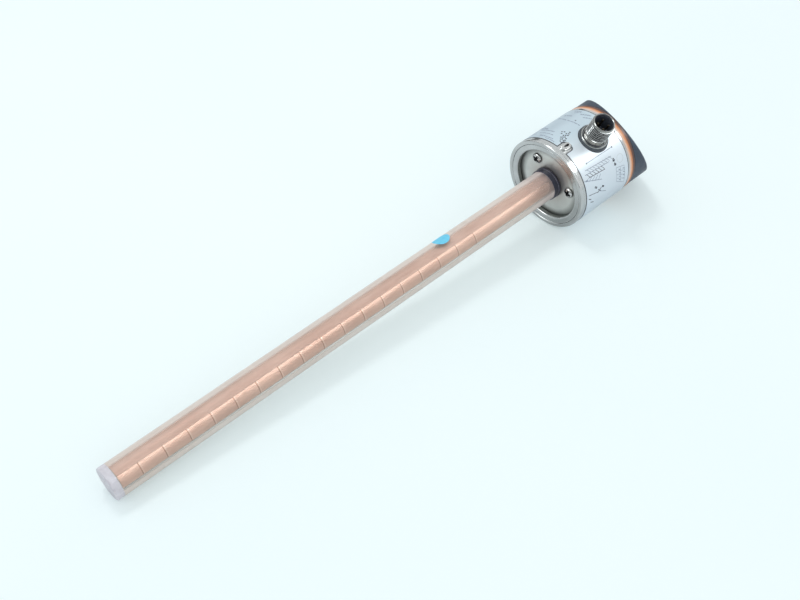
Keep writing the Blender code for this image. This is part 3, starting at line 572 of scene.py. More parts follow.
def build_screws(finish):
    """Crowned screws, each with a tapered cross recess turned its own way."""
    under = PLATE_FRONT + CLEARANCE
    top = PLATE_FRONT + SCREW_TOP
    outline = [(top, 0.0), (top - 0.00003, 0.0009), (top - 0.00015, 0.0016), (top - 0.0004, 0.0022)]
    outline += [(top - 0.0007, 0.00258), (top - 0.001, SCREW_RADIUS), (under + 0.0001, SCREW_RADIUS)]
    outline += [(under, SCREW_RADIUS - 0.0001), (under, SHAFT_RADIUS)]
    outline += [(SHAFT_END, SHAFT_RADIUS), (SHAFT_END, 0.0)]
    for number, (angle, turn) in enumerate(zip(SCREW_ANGLES, SCREW_TURNS), 1):
        spot = screw_place(angle)
        bm = turned(outline, SMALL, spot)
        screw = new_piece(f"cross_screw_{number}", bm, finish, sharp=40.0)
        for quarter in (0.0, 90.0):
            bar = spot @ Matrix.Rotation(math.radians(turn + quarter), 4, "Z")
            # The recess takes the dark steel: painted shade in the cross recess.
            cut(screw, recess(bar, top), lining=1)
        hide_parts(f"plate_screw_{number}")


def recess(place, top):
    """One bar of a cross recess, wide at the top and narrow at the bottom."""
    bm = bmesh.new()
    rings = []
    for level, long, wide in ((top + 0.0003, 0.0023, 0.0008), (top - 0.0009, 0.0014, 0.0005)):
        corners = ((long, wide), (-long, wide), (-long, -wide), (long, -wide))
        rings.append([bm.verts.new(place @ Vector((x, y, level))) for x, y in corners])
    skin(bm, *rings, 4)
    for ring in rings:
        bm.faces.new(ring)
    return bm


def build_lug(finish):
    """The slotted lug behind the rim, with rounded edges."""
    place = about(LUG_ANGLE) @ Matrix.Translation((LUG_X, 0.0, 0.0))
    bm = slab(*LUG_SIZE, 0.0012, CAN_RADIUS + 0.00005, LUG_TOP, place, edge=0.00035)
    lug = new_piece("slotted_lug", bm, finish)
    slot = place @ Matrix.Translation((-0.0003, 0.0, 0.0))
    # The slot takes the dark steel: painted shade in the slot.
    cut(lug, slab(*LUG_SLOT, 0.00055, CAN_RADIUS - 0.00095, LUG_TOP + 0.001, slot), lining=1)
    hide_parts("rim_lug")


# Label

def label_skin(name, radius, grow, finish):
    """A thin sleeve round the can with a notch for the lug and a hole for the connector."""
    front, back = LABEL_FRONT + grow, LABEL_BACK - grow
    rows = [front, front - 0.0004, CONNECTOR_X, back + 0.0004, back]
    bm = sleeve(rows, LABEL_SEAM, LABEL_ARC, 240, LABEL_INNER, radius)
    film = new_piece(name, bm, finish)
    cut(film, rod(*WALL_CUT, LABEL_HOLE - grow, place=UPRIGHT))
    centre = (NOTCH_END + grow + NOTCH_FRONT) / 2
    place = about(LUG_ANGLE) @ Matrix.Translation((centre, 0.0, 0.0))
    length = NOTCH_FRONT - NOTCH_END - grow
    cut(film, slab(length, NOTCH_WIDTH - 2 * grow, 0.0022, *WALL_CUT, place, segments=10))


class Print:
    """Printed marks: thin curved strokes and patches that lie on the label.

    A place is (x, degrees), with x in millimetres, and so are the widths.
    """

    def __init__(self):
        self.bm = bmesh.new()

    def patch(self, low, high, ink):
        """A patch between two rows of places."""
        radius = LABEL_RADIUS + INK_LIFT
        rows = [[self.bm.verts.new(point(x / 1000, turn, radius)) for x, turn in row]
                for row in (low, high)]
        for i in range(len(low) - 1):
            face = self.bm.faces.new((rows[0][i], rows[0][i + 1], rows[1][i + 1], rows[1][i]))
            face.material_index = ink

    def stroke(self, start, end, width, ink=0):
        run = Vector((end[0] - start[0], (end[1] - start[1]) * DEGREE_MM))
        across = Vector((-run.y, run.x)).normalized() * width * PRINT_WEIGHT / 2
        count = max(1, int(abs(end[1] - start[1]) / 2.0))
        rows = [[], []]
        for i in range(count + 1):
            x, turn = between(start, end, i / count)
            for row, sign in zip(rows, (-1, 1)):
                row.append((x + sign * across.x, turn + sign * across.y / DEGREE_MM))
        self.patch(*rows, ink)

    def path(self, spots, width, ink=0):
        for start, end in zip(spots, spots[1:]):
            self.stroke(start, end, width, ink)

    def lines(self, table):
        """Lines by the place of their start and end, their width and their ink."""
        for x, turn, end_x, end_turn, width, ink in table:
            self.stroke((x, turn), (end_x, end_turn), width, ink)

    def disc(self, centre, radius, ink=0, count=20):
        rows = [[], []]
        for i in range(count + 1):
            turn = math.pi * i / count
            x = centre[0] + radius * math.cos(turn)
            reach = radius * math.sin(turn) / DEGREE_MM
            for row, sign in zip(rows, (-1, 1)):
                row.append((x, centre[1] + sign * reach))
        self.patch(*rows, ink)

    def dashes(self, start, end, width, seed):
        """A row of short dashes of mixed length, where a line of small print would be."""
        part = 0.0
        count = 0
        while part < 1.0:
            size = 0.035 + 0.07 * abs(noise.noise(Vector((count * 1.7, seed * 3.1, 0.5))) * 2)
            stop = min(1.0, part + size)
            self.stroke(between(start, end, part), between(start, end, stop), width, 1)
            part = stop + 0.02 + 0.015 * (count % 3)
            count += 1


def between(start, end, share):
    """The place at a share of the way between two places."""
    return tuple(a + (b - a) * share for a, b in zip(start, end))


def build_label(film, edge, inks):
    # A dark sheet a little wider than the film and under it: painted shade along the label's edges, round
    # the notch and round the hole.
    label_skin("label_edge", LABEL_RADIUS - 0.00005, LABEL_EDGE, edge)
    label_skin("label_film", LABEL_RADIUS, 0.0, film)
    marks = Print()
    draw_diagram(marks)
    draw_table(marks)
    draw_wiring(marks)
    draw_small_print(marks)
    draw_squares(marks)
    draw_hidden_fields(marks)
    piece = new_piece("label_marks", marks.bm, inks)
    piece.visible_shadow = False


def draw_diagram(marks):
    """The generic drawing on the label: a scale line and a hatched band."""
    marks.lines(((-9.4, -19.8, -28.4, -20.5, 0.2, 1), (-6.4, -25.9, -25.5, -28.9, 0.2, 1),
                 (-5.2, -30.5, -23.0, -33.2, 0.2, 1), (-7.0, -35.6, -18.8, -37.9, 0.22, 0)))
    marks.disc((-9.4, -19.8), 0.42)
    marks.disc((-28.4, -20.5), 0.42)
    for i in range(9):
        x = -7.6 - 2.0 * i
        marks.stroke((x, -26.2 - 0.15 * i), (x - 2.0, -31.0 - 0.2 * i), 0.16, 1)
    for i in range(6):
        x = -6.4 - 2.1 * i
        marks.stroke((x, -31.0 - 0.2 * i), (x - 1.8, -36.2 - 0.2 * i), 0.18, 0)
    marks.stroke((-3.2, -36.1), (-15.2, -46.6), 0.2, 1)
    for i in range(5):
        x = -4.2 - 2.1 * i
        marks.stroke((x, -38.0 - 1.7 * i), (x - 2.6, -35.6 - 1.0 * i), 0.18, 1)
    marks.path(((-26.0, -32.6), (-26.6, -36.2), (-25.4, -34.6)), 0.7)
    marks.path(((-26.0, -38.4), (-26.8, -41.6), (-25.6, -40.2)), 0.6)
    marks.disc((-30.6, -37.4), 2.3, 2)


def draw_table(marks):
    """A small table of pale lines with dashes in its fields."""
    for part in (0.0, 0.25, 0.5, 0.75, 1.0):
        start = (-26.3 + 0.3 * part, -45.3 - 18.5 * part)
        end = (-32.3 - 0.2 * part, -48.5 - 24.4 * part)
        marks.stroke(start, end, 0.14, 1)
    for part in (0.0, 0.5, 1.0):
        start = (-26.3 - 6.0 * part, -45.3 - 3.2 * part)
        end = (-26.0 - 6.5 * part, -63.8 - 9.1 * part)
        marks.stroke(start, end, 0.14, 1)
    for i in range(4):
        for x, drop in ((-27.9, 0.0), (-31.0, 1.8)):
            turn = -49.2 - 4.8 * i - drop
            marks.stroke((x, turn), (x - 1.4, turn - 1.4), 0.32, 1)


def draw_wiring(marks):
    """A small wiring sketch of crossing lines and short marks."""
    marks.lines(((-9.4, -50.4, -10.8, -53.0, 0.75, 0), (-14.6, -55.2, -16.0, -57.2, 0.7, 0),
                 (-11.2, -60.4, -14.0, -56.2, 0.35, 0), (-11.6, -56.4, -13.6, -60.2, 0.3, 0),
                 (-12.8, -60.0, -17.9, -66.2, 0.22, 1), (-4.6, -56.3, -11.4, -59.6, 0.25, 0),
                 (-4.4, -61.0, -6.3, -63.6, 0.3, 0), (-6.0, -67.6, -8.4, -70.0, 0.35, 0),
                 (-4.4, -36.6, -6.0, -38.2, 0.4, 1)))


def draw_small_print(marks):
    """Rows of dashes where the label has its small print."""
    rows = ((-25.2, 63.0, -23.4, 45.0, 0.5), (-23.4, 43.0, -23.0, 23.4, 0.5),
            (-15.7, 74.0, -13.0, 52.5, 0.5), (-11.1, 59.6, -11.0, 36.7, 0.5),
            (-8.4, 56.0, -8.2, 34.0, 0.4), (-5.6, 49.4, -5.5, 28.6, 0.5),
            (-4.3, 38.0, -4.2, 24.0, 0.4), (-31.1, 37.9, -33.1, 25.8, 0.6),
            (-29.4, 30.9, -31.5, 21.2, 0.5), (-33.4, 52.0, -33.6, 40.0, 0.4),
            (-13.4, 71.0, -12.2, 50.0, 0.5), (-9.7, 77.0, -9.6, 62.0, 0.5),
            (-6.9, 74.0, -6.9, 58.0, 0.4), (-28.2, 59.0, -28.0, 45.0, 0.5),
            (-31.6, 49.0, -32.6, 40.0, 0.4))
    for seed, (x, turn, end_x, end_turn, width) in enumerate(rows, 1):
        marks.dashes((x, turn), (end_x, end_turn), width, seed)
    marks.disc((-25.1, 33.7), 0.4)


def draw_squares(marks):
    """A slanted block of small dark squares, with some left out."""
    for row in range(4):
        for column in range(7):
            if (row * 5 + column * 3) % 4 == 0:
                continue
            share_x, share_y = column / 6.0, row / 3.0
            x = -5.2 - 7.6 * share_x - 2.2 * share_y
            turn = 17.6 + 12.6 * share_x - 6.0 * share_y * share_x - 1.6 * share_y
            marks.stroke((x, turn), (x - 0.7, turn + 0.6), 0.55)


def draw_hidden_fields(marks):
    """Two plain framed fields on the far side of the label."""
    near, far = -7.0, -31.0
    for low, high in ((110.0, 150.0), (200.0, 238.0)):
        marks.path(((near, low), (far, low), (far, high), (near, high), (near, low)), 0.2, 1)
        for i in range(4):
            turn = low + 7.0 + 8.0 * i
            marks.dashes((near - 2.0, turn), (far + 3.0, turn), 0.6, 20 + i)


# Connector

def thread_wave(height, radius, turn):
    """Depth of the screw thread at a height and turn."""
    start, end = THREAD_TOP, MOUTH - THREAD_LENGTH + 0.0002
    if radius < THREAD_RADIUS or not end < height < start:
        return 0.0
    fade = min(1.0, (start - height) / 0.0003, (height - end) / 0.0003)
    phase = (height / THREAD_PITCH + turn / (2 * math.pi)) % 1.0
    return -THREAD_DEPTH * max(0.0, fade) * min(1.0, 2.2 * abs(phase - 0.5))


def build_connector(nickel, lining, thread):
    """The threaded body on its stem and round flange, with a dark bore, and painted shade in the groove
    of its shoulder.
    """
    thread_end = MOUTH - THREAD_LENGTH
    outline = [(SHANK_END, CONNECTOR_BORE), (THREAD_TOP, CONNECTOR_BORE)]
    outline += [(MOUTH - 0.0002, 0.005), (MOUTH, 0.0052), (MOUTH, 0.0054), (MOUTH - 0.0001, 0.0055)]
    outline += [(MOUTH - 0.0005, 0.0058), (MOUTH - 0.0009, 0.0058), (MOUTH - 0.0011, 0.0056)]
    height = THREAD_TOP
    while height > thread_end + 0.0001:
        outline.append((height, THREAD_RADIUS))
        height -= 0.0001
    outline += [(thread_end, 0.0055), (thread_end - 0.0003, 0.0053)]
    top = FLANGE_TOP
    outline += [(top + 0.0007, 0.0053), (top + 0.0005, 0.0055), (top + 0.0005, 0.0061)]
    outline += [(top + 0.0004, 0.0062), (top - 0.0002, 0.0062), (top - 0.0003, 0.0066)]
    outline += [(top - 0.0001, 0.0067), (top - 0.0001, 0.0070)]
    outline += [(top - 0.0003, CONNECTOR_FLANGE - 0.0001), (top - 0.0005, CONNECTOR_FLANGE)]
    outline += [(FLANGE_BOTTOM, CONNECTOR_FLANGE), (FLANGE_BOTTOM, SHANK_RADIUS)]
    outline += [(SHANK_END, SHANK_RADIUS)]
    bm = turned(outline, 144, UPRIGHT, thread_wave)
    for face in bm.faces:
        middle = face.calc_center_median() - Vector((CONNECTOR_X, 0.0, 0.0))
        reach = middle.xy.length
        # The bore takes the dark lining; the groove in the shoulder takes it too, as painted shade.
        if reach < 0.00505 or (0.0061 < reach < 0.0067 and middle.z < top + 0.0001):
            face.material_index = 1
        elif reach > 0.0052 and thread_end - 0.0004 < middle.z < THREAD_TOP + 0.0001:
            face.material_index = 2
    finishes = [nickel, lining, thread]
    body = new_piece("threaded_connector", bm, finishes, sharp=40.0)
    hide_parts("connector_body")


def build_gasket(rubber):
    top = FLANGE_BOTTOM - 0.0002
    foot = 0.0225
    hole = SHANK_RADIUS + CLEARANCE
    outline = [(top, hole), (top, GASKET_RADIUS - 0.0004), (top - 0.0002, GASKET_RADIUS - 0.0001)]
    outline += [(top - 0.0004, GASKET_RADIUS), (foot, GASKET_RADIUS), (foot, hole)]
    gasket = new_piece("saddle_ring", turned(outline, MEDIUM, UPRIGHT), rubber)
    cut(gasket, rod(CONNECTOR_X - 0.02, CONNECTOR_X + 0.02, CAN_RADIUS + 0.00015, FINE, ALONG))
    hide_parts("connector_gasket")


# Probe

def build_tube(wall, lining, end_finish):
    """The tube: its wall, the face of its bore, and its solid end are finished apart."""
    end = PROBE_LENGTH
    outline = [(end, 0.0), (end, PROBE_RADIUS - 0.0005), (end - 0.00015, PROBE_RADIUS - 0.00015)]
    outline += [(end - 0.0005, PROBE_RADIUS), (BORE_END, PROBE_RADIUS), (FLANGE_FRONT, PROBE_RADIUS)]
    outline += [(FLANGE_FRONT, FLANGE_RADIUS), (FLANGE_BACK, FLANGE_RADIUS)]
    outline += [(FLANGE_BACK, BORE_RADIUS), (BORE_END, BORE_RADIUS), (BORE_END, 0.0)]
    bm = turned(outline, FINE)
    for face in bm.faces:
        middle = face.calc_center_median()
        if middle.x > BORE_END - 0.00001:
            face.material_index = 2
        elif middle.yz.length < BORE_RADIUS + 0.00001:
            face.material_index = 1
    tube = new_piece("clear_tube", bm, [wall, lining, end_finish], sharp=40.0)
    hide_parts("probe_tube")


def foil(rows, start, sweep, steps):
    return sleeve(rows, start, sweep, steps, FOIL_RADIUS - FOIL_THICKNESS, FOIL_RADIUS)


def build_foils(strip_finish, shield_finish):
    """A grooved strip and a wide wrap beside it, with a narrow gap on each side of the seam."""
    rows = [FOIL_END, FLANGE_BACK]
    for i in range(GROOVES):
        middle = FIRST_GROOVE - GROOVE_PITCH * i
        rows += [middle + GROOVE_WIDTH / 2, middle - GROOVE_WIDTH / 2]
    bm = foil(sorted(rows, reverse=True), FOIL_SEAM - SEAM_GAP - STRIP_ARC, STRIP_ARC, 24)
    strip = new_piece("copper_strip", bm, strip_finish)
    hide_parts("segment_foil")
    rows = [FLANGE_BACK + (FOIL_END - FLANGE_BACK) * i / 40 for i in range(41)]
    bm = foil(rows, FOIL_SEAM + SEAM_GAP, WRAP_ARC, 60)
    wrap = new_piece("copper_wrap", bm, shield_finish)
    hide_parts("shield_foil")


def build_bore_end(finish):
    """The thin rim where the bore ends inside the probe."""
    front, back = BORE_END - 0.0001, BORE_END - 0.0005
    inner, outer = BORE_RADIUS - 0.00045, BORE_RADIUS - 0.0001
    outline = [(front, inner), (front, outer), (back, outer), (back, inner)]
    new_piece("bore_rim", turned(outline, MEDIUM), finish)


def build_collar(rubber, edge):
    """A dark sleeve round the probe's foot, with a painted highlight as a pale line above its own foot
    and at its lip.
    """
    hole = PROBE_RADIUS + 0.00006
    neck = COLLAR_RADIUS - 0.0002
    line = COLLAR_BOTTOM + 0.0009
    outline = [(COLLAR_BOTTOM, hole), (COLLAR_TOP - 0.0001, hole), (COLLAR_TOP, hole + 0.0001)]
    outline += [(COLLAR_TOP, neck - 0.0003), (COLLAR_TOP - 0.0003, neck), (line + 0.0003, neck)]
    outline += [(line + 0.0002, neck - 0.0001), (line, neck - 0.0001), (line - 0.0001, COLLAR_RADIUS)]
    outline += [(COLLAR_BOTTOM + 0.0001, COLLAR_RADIUS), (COLLAR_BOTTOM, COLLAR_RADIUS - 0.0001)]
    bm = turned(outline, FINE)
    for face in bm.faces:
        middle = face.calc_center_median()
        # Painted highlight: the faces of the step above the foot and of the lip take the pale finish.
        pale = line - 0.00005 < middle.x < line + 0.00025 or middle.x > COLLAR_TOP - 0.00005
        if pale and middle.yz.length > hole + 0.00003:
            face.material_index = 1
    collar = new_piece("probe_ring", bm, [rubber, edge], sharp=40.0)
    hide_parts("probe_collar")


def build_sticker(finish):
    """A small round sticker that follows the probe's round side, with its edge turned down."""
    bm = bmesh.new()
    radius = PROBE_RADIUS + 0.00006
    rings = [[bm.verts.new(point(STICKER_X, STICKER_ANGLE, radius))]]
    for share, lift in ((0.35, radius), (0.7, radius), (0.94, radius), (1.0, PROBE_RADIUS + 0.00001)):
        reach = STICKER_RADIUS * share
        ring = []
        for i in range(SMALL):
            turn = 2 * math.pi * i / SMALL
            around = math.degrees(reach * math.sin(turn) / radius)
            spot = point(STICKER_X + reach * math.cos(turn), STICKER_ANGLE + around, lift)
            ring.append(bm.verts.new(spot))
        rings.append(ring)
    for low, high in zip(rings, rings[1:]):
        skin(bm, low, high, SMALL)
    new_piece("round_sticker", bm, finish, sharp=60.0)


# Ring and cover

def build_ring(finish):
    """A ring flush with the can, with a thinner skirt that plugs into it."""
    inner = RING_RADIUS - 0.0017
    plug, plug_end = 0.024, -0.0341
    outline = [(plug_end, inner), (plug_end, plug), (RING_FRONT, plug)]
    outline += rounded([(RING_FRONT, 0.0243), (RING_FRONT, RING_RADIUS), (RING_BACK, RING_RADIUS),
                        (RING_BACK, inner)], [0.0, 0.0003, 0.0003, 0.0], 4)
    ring = new_piece("colour_ring", turned(outline, FINE), finish, sharp=40.0)
    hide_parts("accent_ring")


def slanted(radius, offset):
    """A round body whose far end is the cover's slanted plane, moved in by an offset."""
    far = COVER_BASE - 4 * COVER_RADIUS
    bm = rod(far, COVER_BASE + 0.02, radius, FINE, ALONG)
    return bm, Vector((FACE_X, 0.0, 0.0)) - FACE_NORMAL * offset


def cover_body():
    """The cover's outside: flat at its base, and slanted with a soft edge at its far end."""
    bm, spot = slanted(COVER_RADIUS, 0.0)
    trim(bm, spot, FACE_NORMAL, True)
    rim = [e for e in bm.edges if all(abs((v.co - spot).dot(FACE_NORMAL)) < 1e-7 for v in e.verts)]
    bmesh.ops.bevel(bm, geom=rim, offset=COVER_EDGE, segments=6, profile=0.5, affect="EDGES")
    trim(bm, Vector((COVER_BASE, 0.0, 0.0)), Vector((1.0, 0.0, 0.0)), True)
    return bm


def pocket():
    """The shallow round pocket in the slanted face."""
    bm, spot = slanted(POCKET_RADIUS, POCKET_DEPTH)
    trim(bm, spot, FACE_NORMAL, False)
    return bm


def trim(bm, spot, normal, drop_outer):
    """Cuts the body at a plane, drops one side and closes it."""
    everything = bm.verts[:] + bm.edges[:] + bm.faces[:]
    result = bmesh.ops.bisect_plane(bm, geom=everything, dist=1e-8, plane_co=spot, plane_no=normal,
                                    clear_outer=drop_outer, clear_inner=not drop_outer)
    rim = [item for item in result["geom_cut"] if isinstance(item, bmesh.types.BMEdge)]
    bmesh.ops.edgeloop_fill(bm, edges=rim)


def on_face(across, uphill):
    return FACE @ Matrix.Translation((across, uphill, 0.0))


def build_cover(finish):
    cover = new_piece("slanted_cover", cover_body(), finish, sharp=30.0)
    cut(cover, pocket())
    wide, high = WINDOW
    lip = 0.0026
    place = on_face(0.0, WINDOW_CENTRE)
    cut(cover, slab(wide, high, 0.0012, -0.0016, FACE_CUT[1], place))
    cut(cover, slab(wide - lip, high - lip, 0.0006, *FACE_CUT, place))
    for spot in BUTTON_PLACES.values():
        cut(cover, rod(*FACE_CUT, BUTTON_RADIUS + CLEARANCE, place=on_face(*spot)))
    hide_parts("cover")


def build_window(finish):
    gap = 0.0005
    bm = slab(WINDOW[0] - gap, WINDOW[1] - gap, 0.001, -0.0013, -0.0004, on_face(0.0, WINDOW_CENTRE),
              edge=0.00015)
    window = new_piece("smoked_window", bm, finish)
    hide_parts("display_window")


def build_buttons(finish):
    """Push buttons with a rounded edge and a shallow dish, on a collar and a stem."""
    dish = [(0.00045, 0.0), (0.00048, 0.0012), (0.0006, 0.0024), (0.00075, 0.0032)]
    side = [(0.0008, 0.0036), (0.00072, 0.0039), (0.0005, 0.0041), (0.0002, BUTTON_RADIUS)]
    stem = [(-0.0023, BUTTON_RADIUS), (-0.0023, 0.0054), (-0.0031, 0.0054)]
    stem += [(-0.0031, 0.0017), (-0.0038, 0.0017), (-0.0038, 0.0)]
    for name, spot in BUTTON_PLACES.items():
        bm = turned(dish + side + stem, MEDIUM, on_face(*spot))
        cap = new_piece(f"{name}_cap", bm, finish, body=name)
        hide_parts(name)


# Finishes

def label_paint():
    """Silvery satin film with painted light: nearly white near the connector, cooler to both sides, with
    painted shade darkest on the side away from the light; a little cloudy.
    """
    paint = Paint("label_film")
    # Painted light: the colour goes by the angle round the axis, lightest where the film faces the light
    # and darker and cooler on the shaded side.
    share = paint.math("MULTIPLY_ADD", paint.angle(), 1.0 / 180.0, 0.5)
    clouds = paint.noise(60.0, 3.0)
    shifted = paint.math("ADD", share, paint.math("MULTIPLY_ADD", clouds, 0.06, -0.03))
    colour = paint.ramp(shifted, (0.05, rgb(214, 227, 236)), (0.28, rgb(226, 237, 245)),
                        (0.46, rgb(234, 243, 248)), (0.62, rgb(204, 222, 231)),
                        (0.85, rgb(195, 212, 222)))
    paint.set(Base_Color=colour, Metallic=0.2,
              Roughness=paint.ramp(clouds, (0.3, 0.3), (0.7, 0.42)), Specular_IOR_Level=0.4)
    paint.bump(paint.noise(2600.0, 2.0), 0.05, 0.00004)
    return paint.material


def copper_paint(name, dark, light, roughness, metallic, grooved=False):
    """Dull copper foil: cloudy, with faint marks along the foil."""
    paint = Paint(name)
    streaks = paint.noise(700.0, 3.0, (0.04, 1.0, 1.0))
    both = paint.shares(paint.noise(95.0, 4.0, (0.5, 1.0, 1.0)), streaks, 0.65)
    colour = paint.ramp(both, (0.35, rgb(*dark)), (0.62, rgb(*light)))
    if grooved:
        colour = grooved_colour(paint, colour)
    shine = paint.ramp(both, (0.3, roughness * 0.85), (0.7, roughness * 1.2))
    paint.set(Base_Color=colour, Roughness=shine, Metallic=metallic, Sheen_Weight=0.35,
              Sheen_Roughness=0.4, Sheen_Tint=(0.7, 0.74, 0.68, 1.0))
    paint.bump(streaks, 0.06, 0.00005)
    return paint.material


def grooved_colour(paint, copper):
    """Copper with a dark line at each groove and a painted highlight, a light edge, beside it."""
    x = paint.axes()[0]
    place = paint.math("DIVIDE", paint.math("SUBTRACT", FIRST_GROOVE, x), GROOVE_PITCH)
    offset = paint.math("SUBTRACT", paint.math("FRACT", paint.math("ADD", place, 0.5)), 0.5)
    last = FIRST_GROOVE - GROOVE_PITCH * (GROOVES - 1)
    inside = paint.band(x, last - GROOVE_PITCH / 2, FIRST_GROOVE + GROOVE_PITCH / 2, GROOVE_WIDTH)
    dark = paint.math("MULTIPLY", paint.band(offset, -0.02, 0.02, 0.01), inside)
    # Painted highlight: a light band beside each groove, on its side towards the head.
    light = paint.math("MULTIPLY", paint.band(offset, 0.03, 0.07, 0.02), inside)
    lit = paint.mix(paint.math("MULTIPLY", light, 0.6), copper, rgb(250, 226, 208))
    return paint.mix(dark, lit, rgb(178, 132, 114))


def plate_paint():
    """Satin plate with painted shade in the creases round the screws and at the rim, and a painted warm
    reflection of the copper near the probe.
    """
    paint = Paint("plate_steel")
    _, y, z = paint.axes()
    grain = paint.noise(500.0, 3.0, (1.0, 0.4, 0.4))
    both = paint.shares(grain, paint.noise(120.0, 2.0), 0.4)
    plain = paint.ramp(both, (0.3, rgb(211, 214, 210)), (0.7, rgb(229, 231, 227)))
    reach = paint.distance(y, z, (0.0, 0.0))
    # Painted reflection: a warm tint of the copper probe on the plate round it.
    copper_reflection = paint.ramp(reach, (0.0088, WHITE), (0.0135, BLACK))
    colour = paint.mix(paint.math("MULTIPLY", copper_reflection, 0.45), plain, rgb(166, 142, 134))
    # Painted shade: darker at the plate's edge by the rim and in a ring round each screw.
    near = paint.ramp(reach, (OPENING_RADIUS - 0.0005, BLACK), (OPENING_RADIUS, WHITE))
    for angle in SCREW_ANGLES:
        spot = about(angle) @ Vector((0.0, 0.0, SCREW_CIRCLE))
        away = paint.distance(y, z, (spot.y, spot.z))
        ring = paint.ramp(away, (SCREW_RADIUS, WHITE), (SCREW_RADIUS + 0.0007, BLACK))
        near = paint.math("MAXIMUM", near, ring)
    paint.set(Base_Color=paint.mix(paint.math("MULTIPLY", near, 0.85), colour, rgb(70, 72, 74)),
              Metallic=0.9, Roughness=paint.ramp(grain, (0.35, 0.32), (0.65, 0.42)))
    paint.bump(grain, 0.04, 0.00005)
    return paint.material


def thread_paint():
    """Nickel thread with painted shade: dark in its grooves and bright on its crests."""
    paint = Paint("nickel_thread")
    x, y, _ = paint.axes()
    away = paint.distance(x, y, (CONNECTOR_X, 0.0))
    depth = paint.math("DIVIDE", paint.math("SUBTRACT", away, THREAD_RADIUS - THREAD_DEPTH), THREAD_DEPTH)
    marks = paint.noise(900.0, 3.0, (1.0, 1.0, 0.15))
    # Painted shade by depth: dark at the bottom of the thread's grooves and bright on its crests, with
    # faint marks.
    shade_and_marks = paint.math("ADD", depth, paint.math("MULTIPLY_ADD", marks, 0.3, -0.15))
    colour = paint.ramp(shade_and_marks, (0.3, rgb(34, 36, 38)), (0.62, rgb(104, 107, 108)),
                        (0.95, rgb(200, 203, 203)))
    paint.set(Base_Color=colour, Metallic=1.0, Roughness=paint.ramp(marks, (0.3, 0.1), (0.7, 0.18)))
    return paint.material


def ring_paint():
    """Orange moulding with painted light: a pale painted highlight at its front edge and brown painted
    shade beside the cover.
    """
    paint = Paint("orange_plastic")
    x = paint.axes()[0]
    grain = paint.noise(1100.0, 3.0)
    # Painted light: pale where the front edge catches the light, orange in the middle, brown in the shade
    # beside the cover.
    share = paint.math("DIVIDE", paint.math("SUBTRACT", RING_FRONT, x), RING_FRONT - RING_BACK)
    shifted = paint.math("ADD", share, paint.math("MULTIPLY_ADD", grain, 0.08, -0.04))
    colour = paint.ramp(shifted, (0.0, rgb(226, 208, 196)), (0.2, rgb(236, 196, 172)),
                        (0.38, rgb(222, 154, 108)), (0.54, rgb(196, 122, 76)), (0.68, rgb(92, 64, 54)))
    paint.set(Base_Color=colour, Roughness=paint.ramp(grain, (0.3, 0.34), (0.7, 0.44)),
              Coat_Weight=0.2, Specular_IOR_Level=0.4)
    paint.bump(paint.noise(2700.0, 2.0), 0.1, 0.0001)
    return paint.material


def veil(paint, cover, tint):
    """Lets the ground show through a finish: the cover is the share that the finish hides."""
    clear = paint.node("ShaderNodeBsdfTransparent")
    clear.inputs["Color"].default_value = tint
    both = paint.node("ShaderNodeMixShader")
    paint.put(both.inputs["Fac"], cover)
    paint.join(clear.outputs[0], both.inputs[1])
    paint.join(paint.shader.outputs[0], both.inputs[2])
    paint.join(both.outputs[0], paint.tree.nodes["Material Output"].inputs["Surface"])
    return paint.material


def tube_paint():
    """Milky see-through plastic: clear face on and cloudy at a slant, as a thick clear wall is."""
    paint = Paint("clear_plastic")
    x = paint.axes()[0]
    clouds = paint.noise(40.0, 3.0)
    plain = paint.ramp(clouds, (0.35, rgb(223, 211, 201)), (0.65, rgb(228, 219, 210)))
    near = paint.math("SUBTRACT", 1.0, paint.math("DIVIDE", x, 0.02), clamp=True)
    colour = paint.mix(paint.math("MULTIPLY", near, 0.6), plain, rgb(206, 190, 192))
    paint.set(Base_Color=colour, Specular_IOR_Level=0.4,
              Roughness=paint.ramp(clouds, (0.4, 0.26), (0.7, 0.32)))
    weight = paint.node("ShaderNodeLayerWeight")
    weight.inputs["Blend"].default_value = 0.5
    evened = paint.math("MULTIPLY_ADD", x, 0.4, weight.outputs["Facing"])
    cover = paint.ramp(evened, (0.0, 0.1), (0.34, 0.2), (0.42, 0.5), (0.47, 0.88), (0.6, 0.96))
    more = paint.math("MULTIPLY", near, 0.25)
    return veil(paint, paint.math("ADD", cover, more, clamp=True), (0.98, 0.985, 0.975, 1.0))


def bore_paint():
    """The face of the bore: all but clear, with faint marks."""
    paint = Paint("clear_bore")
    marks = paint.noise(60.0, 2.0)
    paint.set(Base_Color=rgb(214, 216, 210), Roughness=0.4, Specular_IOR_Level=0.0)
    return veil(paint, paint.ramp(marks, (0.4, 0.01), (0.8, 0.03)), WHITE)


def end_paint():
    """The solid end of the probe: cloudy, cool and nearly opaque."""
    paint = Paint("cloudy_end")
    clouds = paint.noise(260.0, 3.0)
    paint.set(Base_Color=paint.ramp(clouds, (0.35, rgb(224, 221, 229)), (0.65, rgb(234, 232, 239))),
              Roughness=0.32, Specular_IOR_Level=0.4)
    return veil(paint, paint.ramp(clouds, (0.3, 0.72), (0.7, 0.84)), (0.97, 0.98, 0.98, 1.0))


def smoked_paint():
    """Smoked display window with polished faces."""
    paint = Paint("smoked_window")
    smears = paint.noise(120.0, 3.0)
    paint.set(Base_Color=paint.ramp(smears, (0.3, rgb(24, 12, 14)), (0.7, rgb(34, 17, 19))),
              Roughness=paint.ramp(smears, (0.4, 0.06), (0.7, 0.14)), Alpha=0.93)
    return paint.material


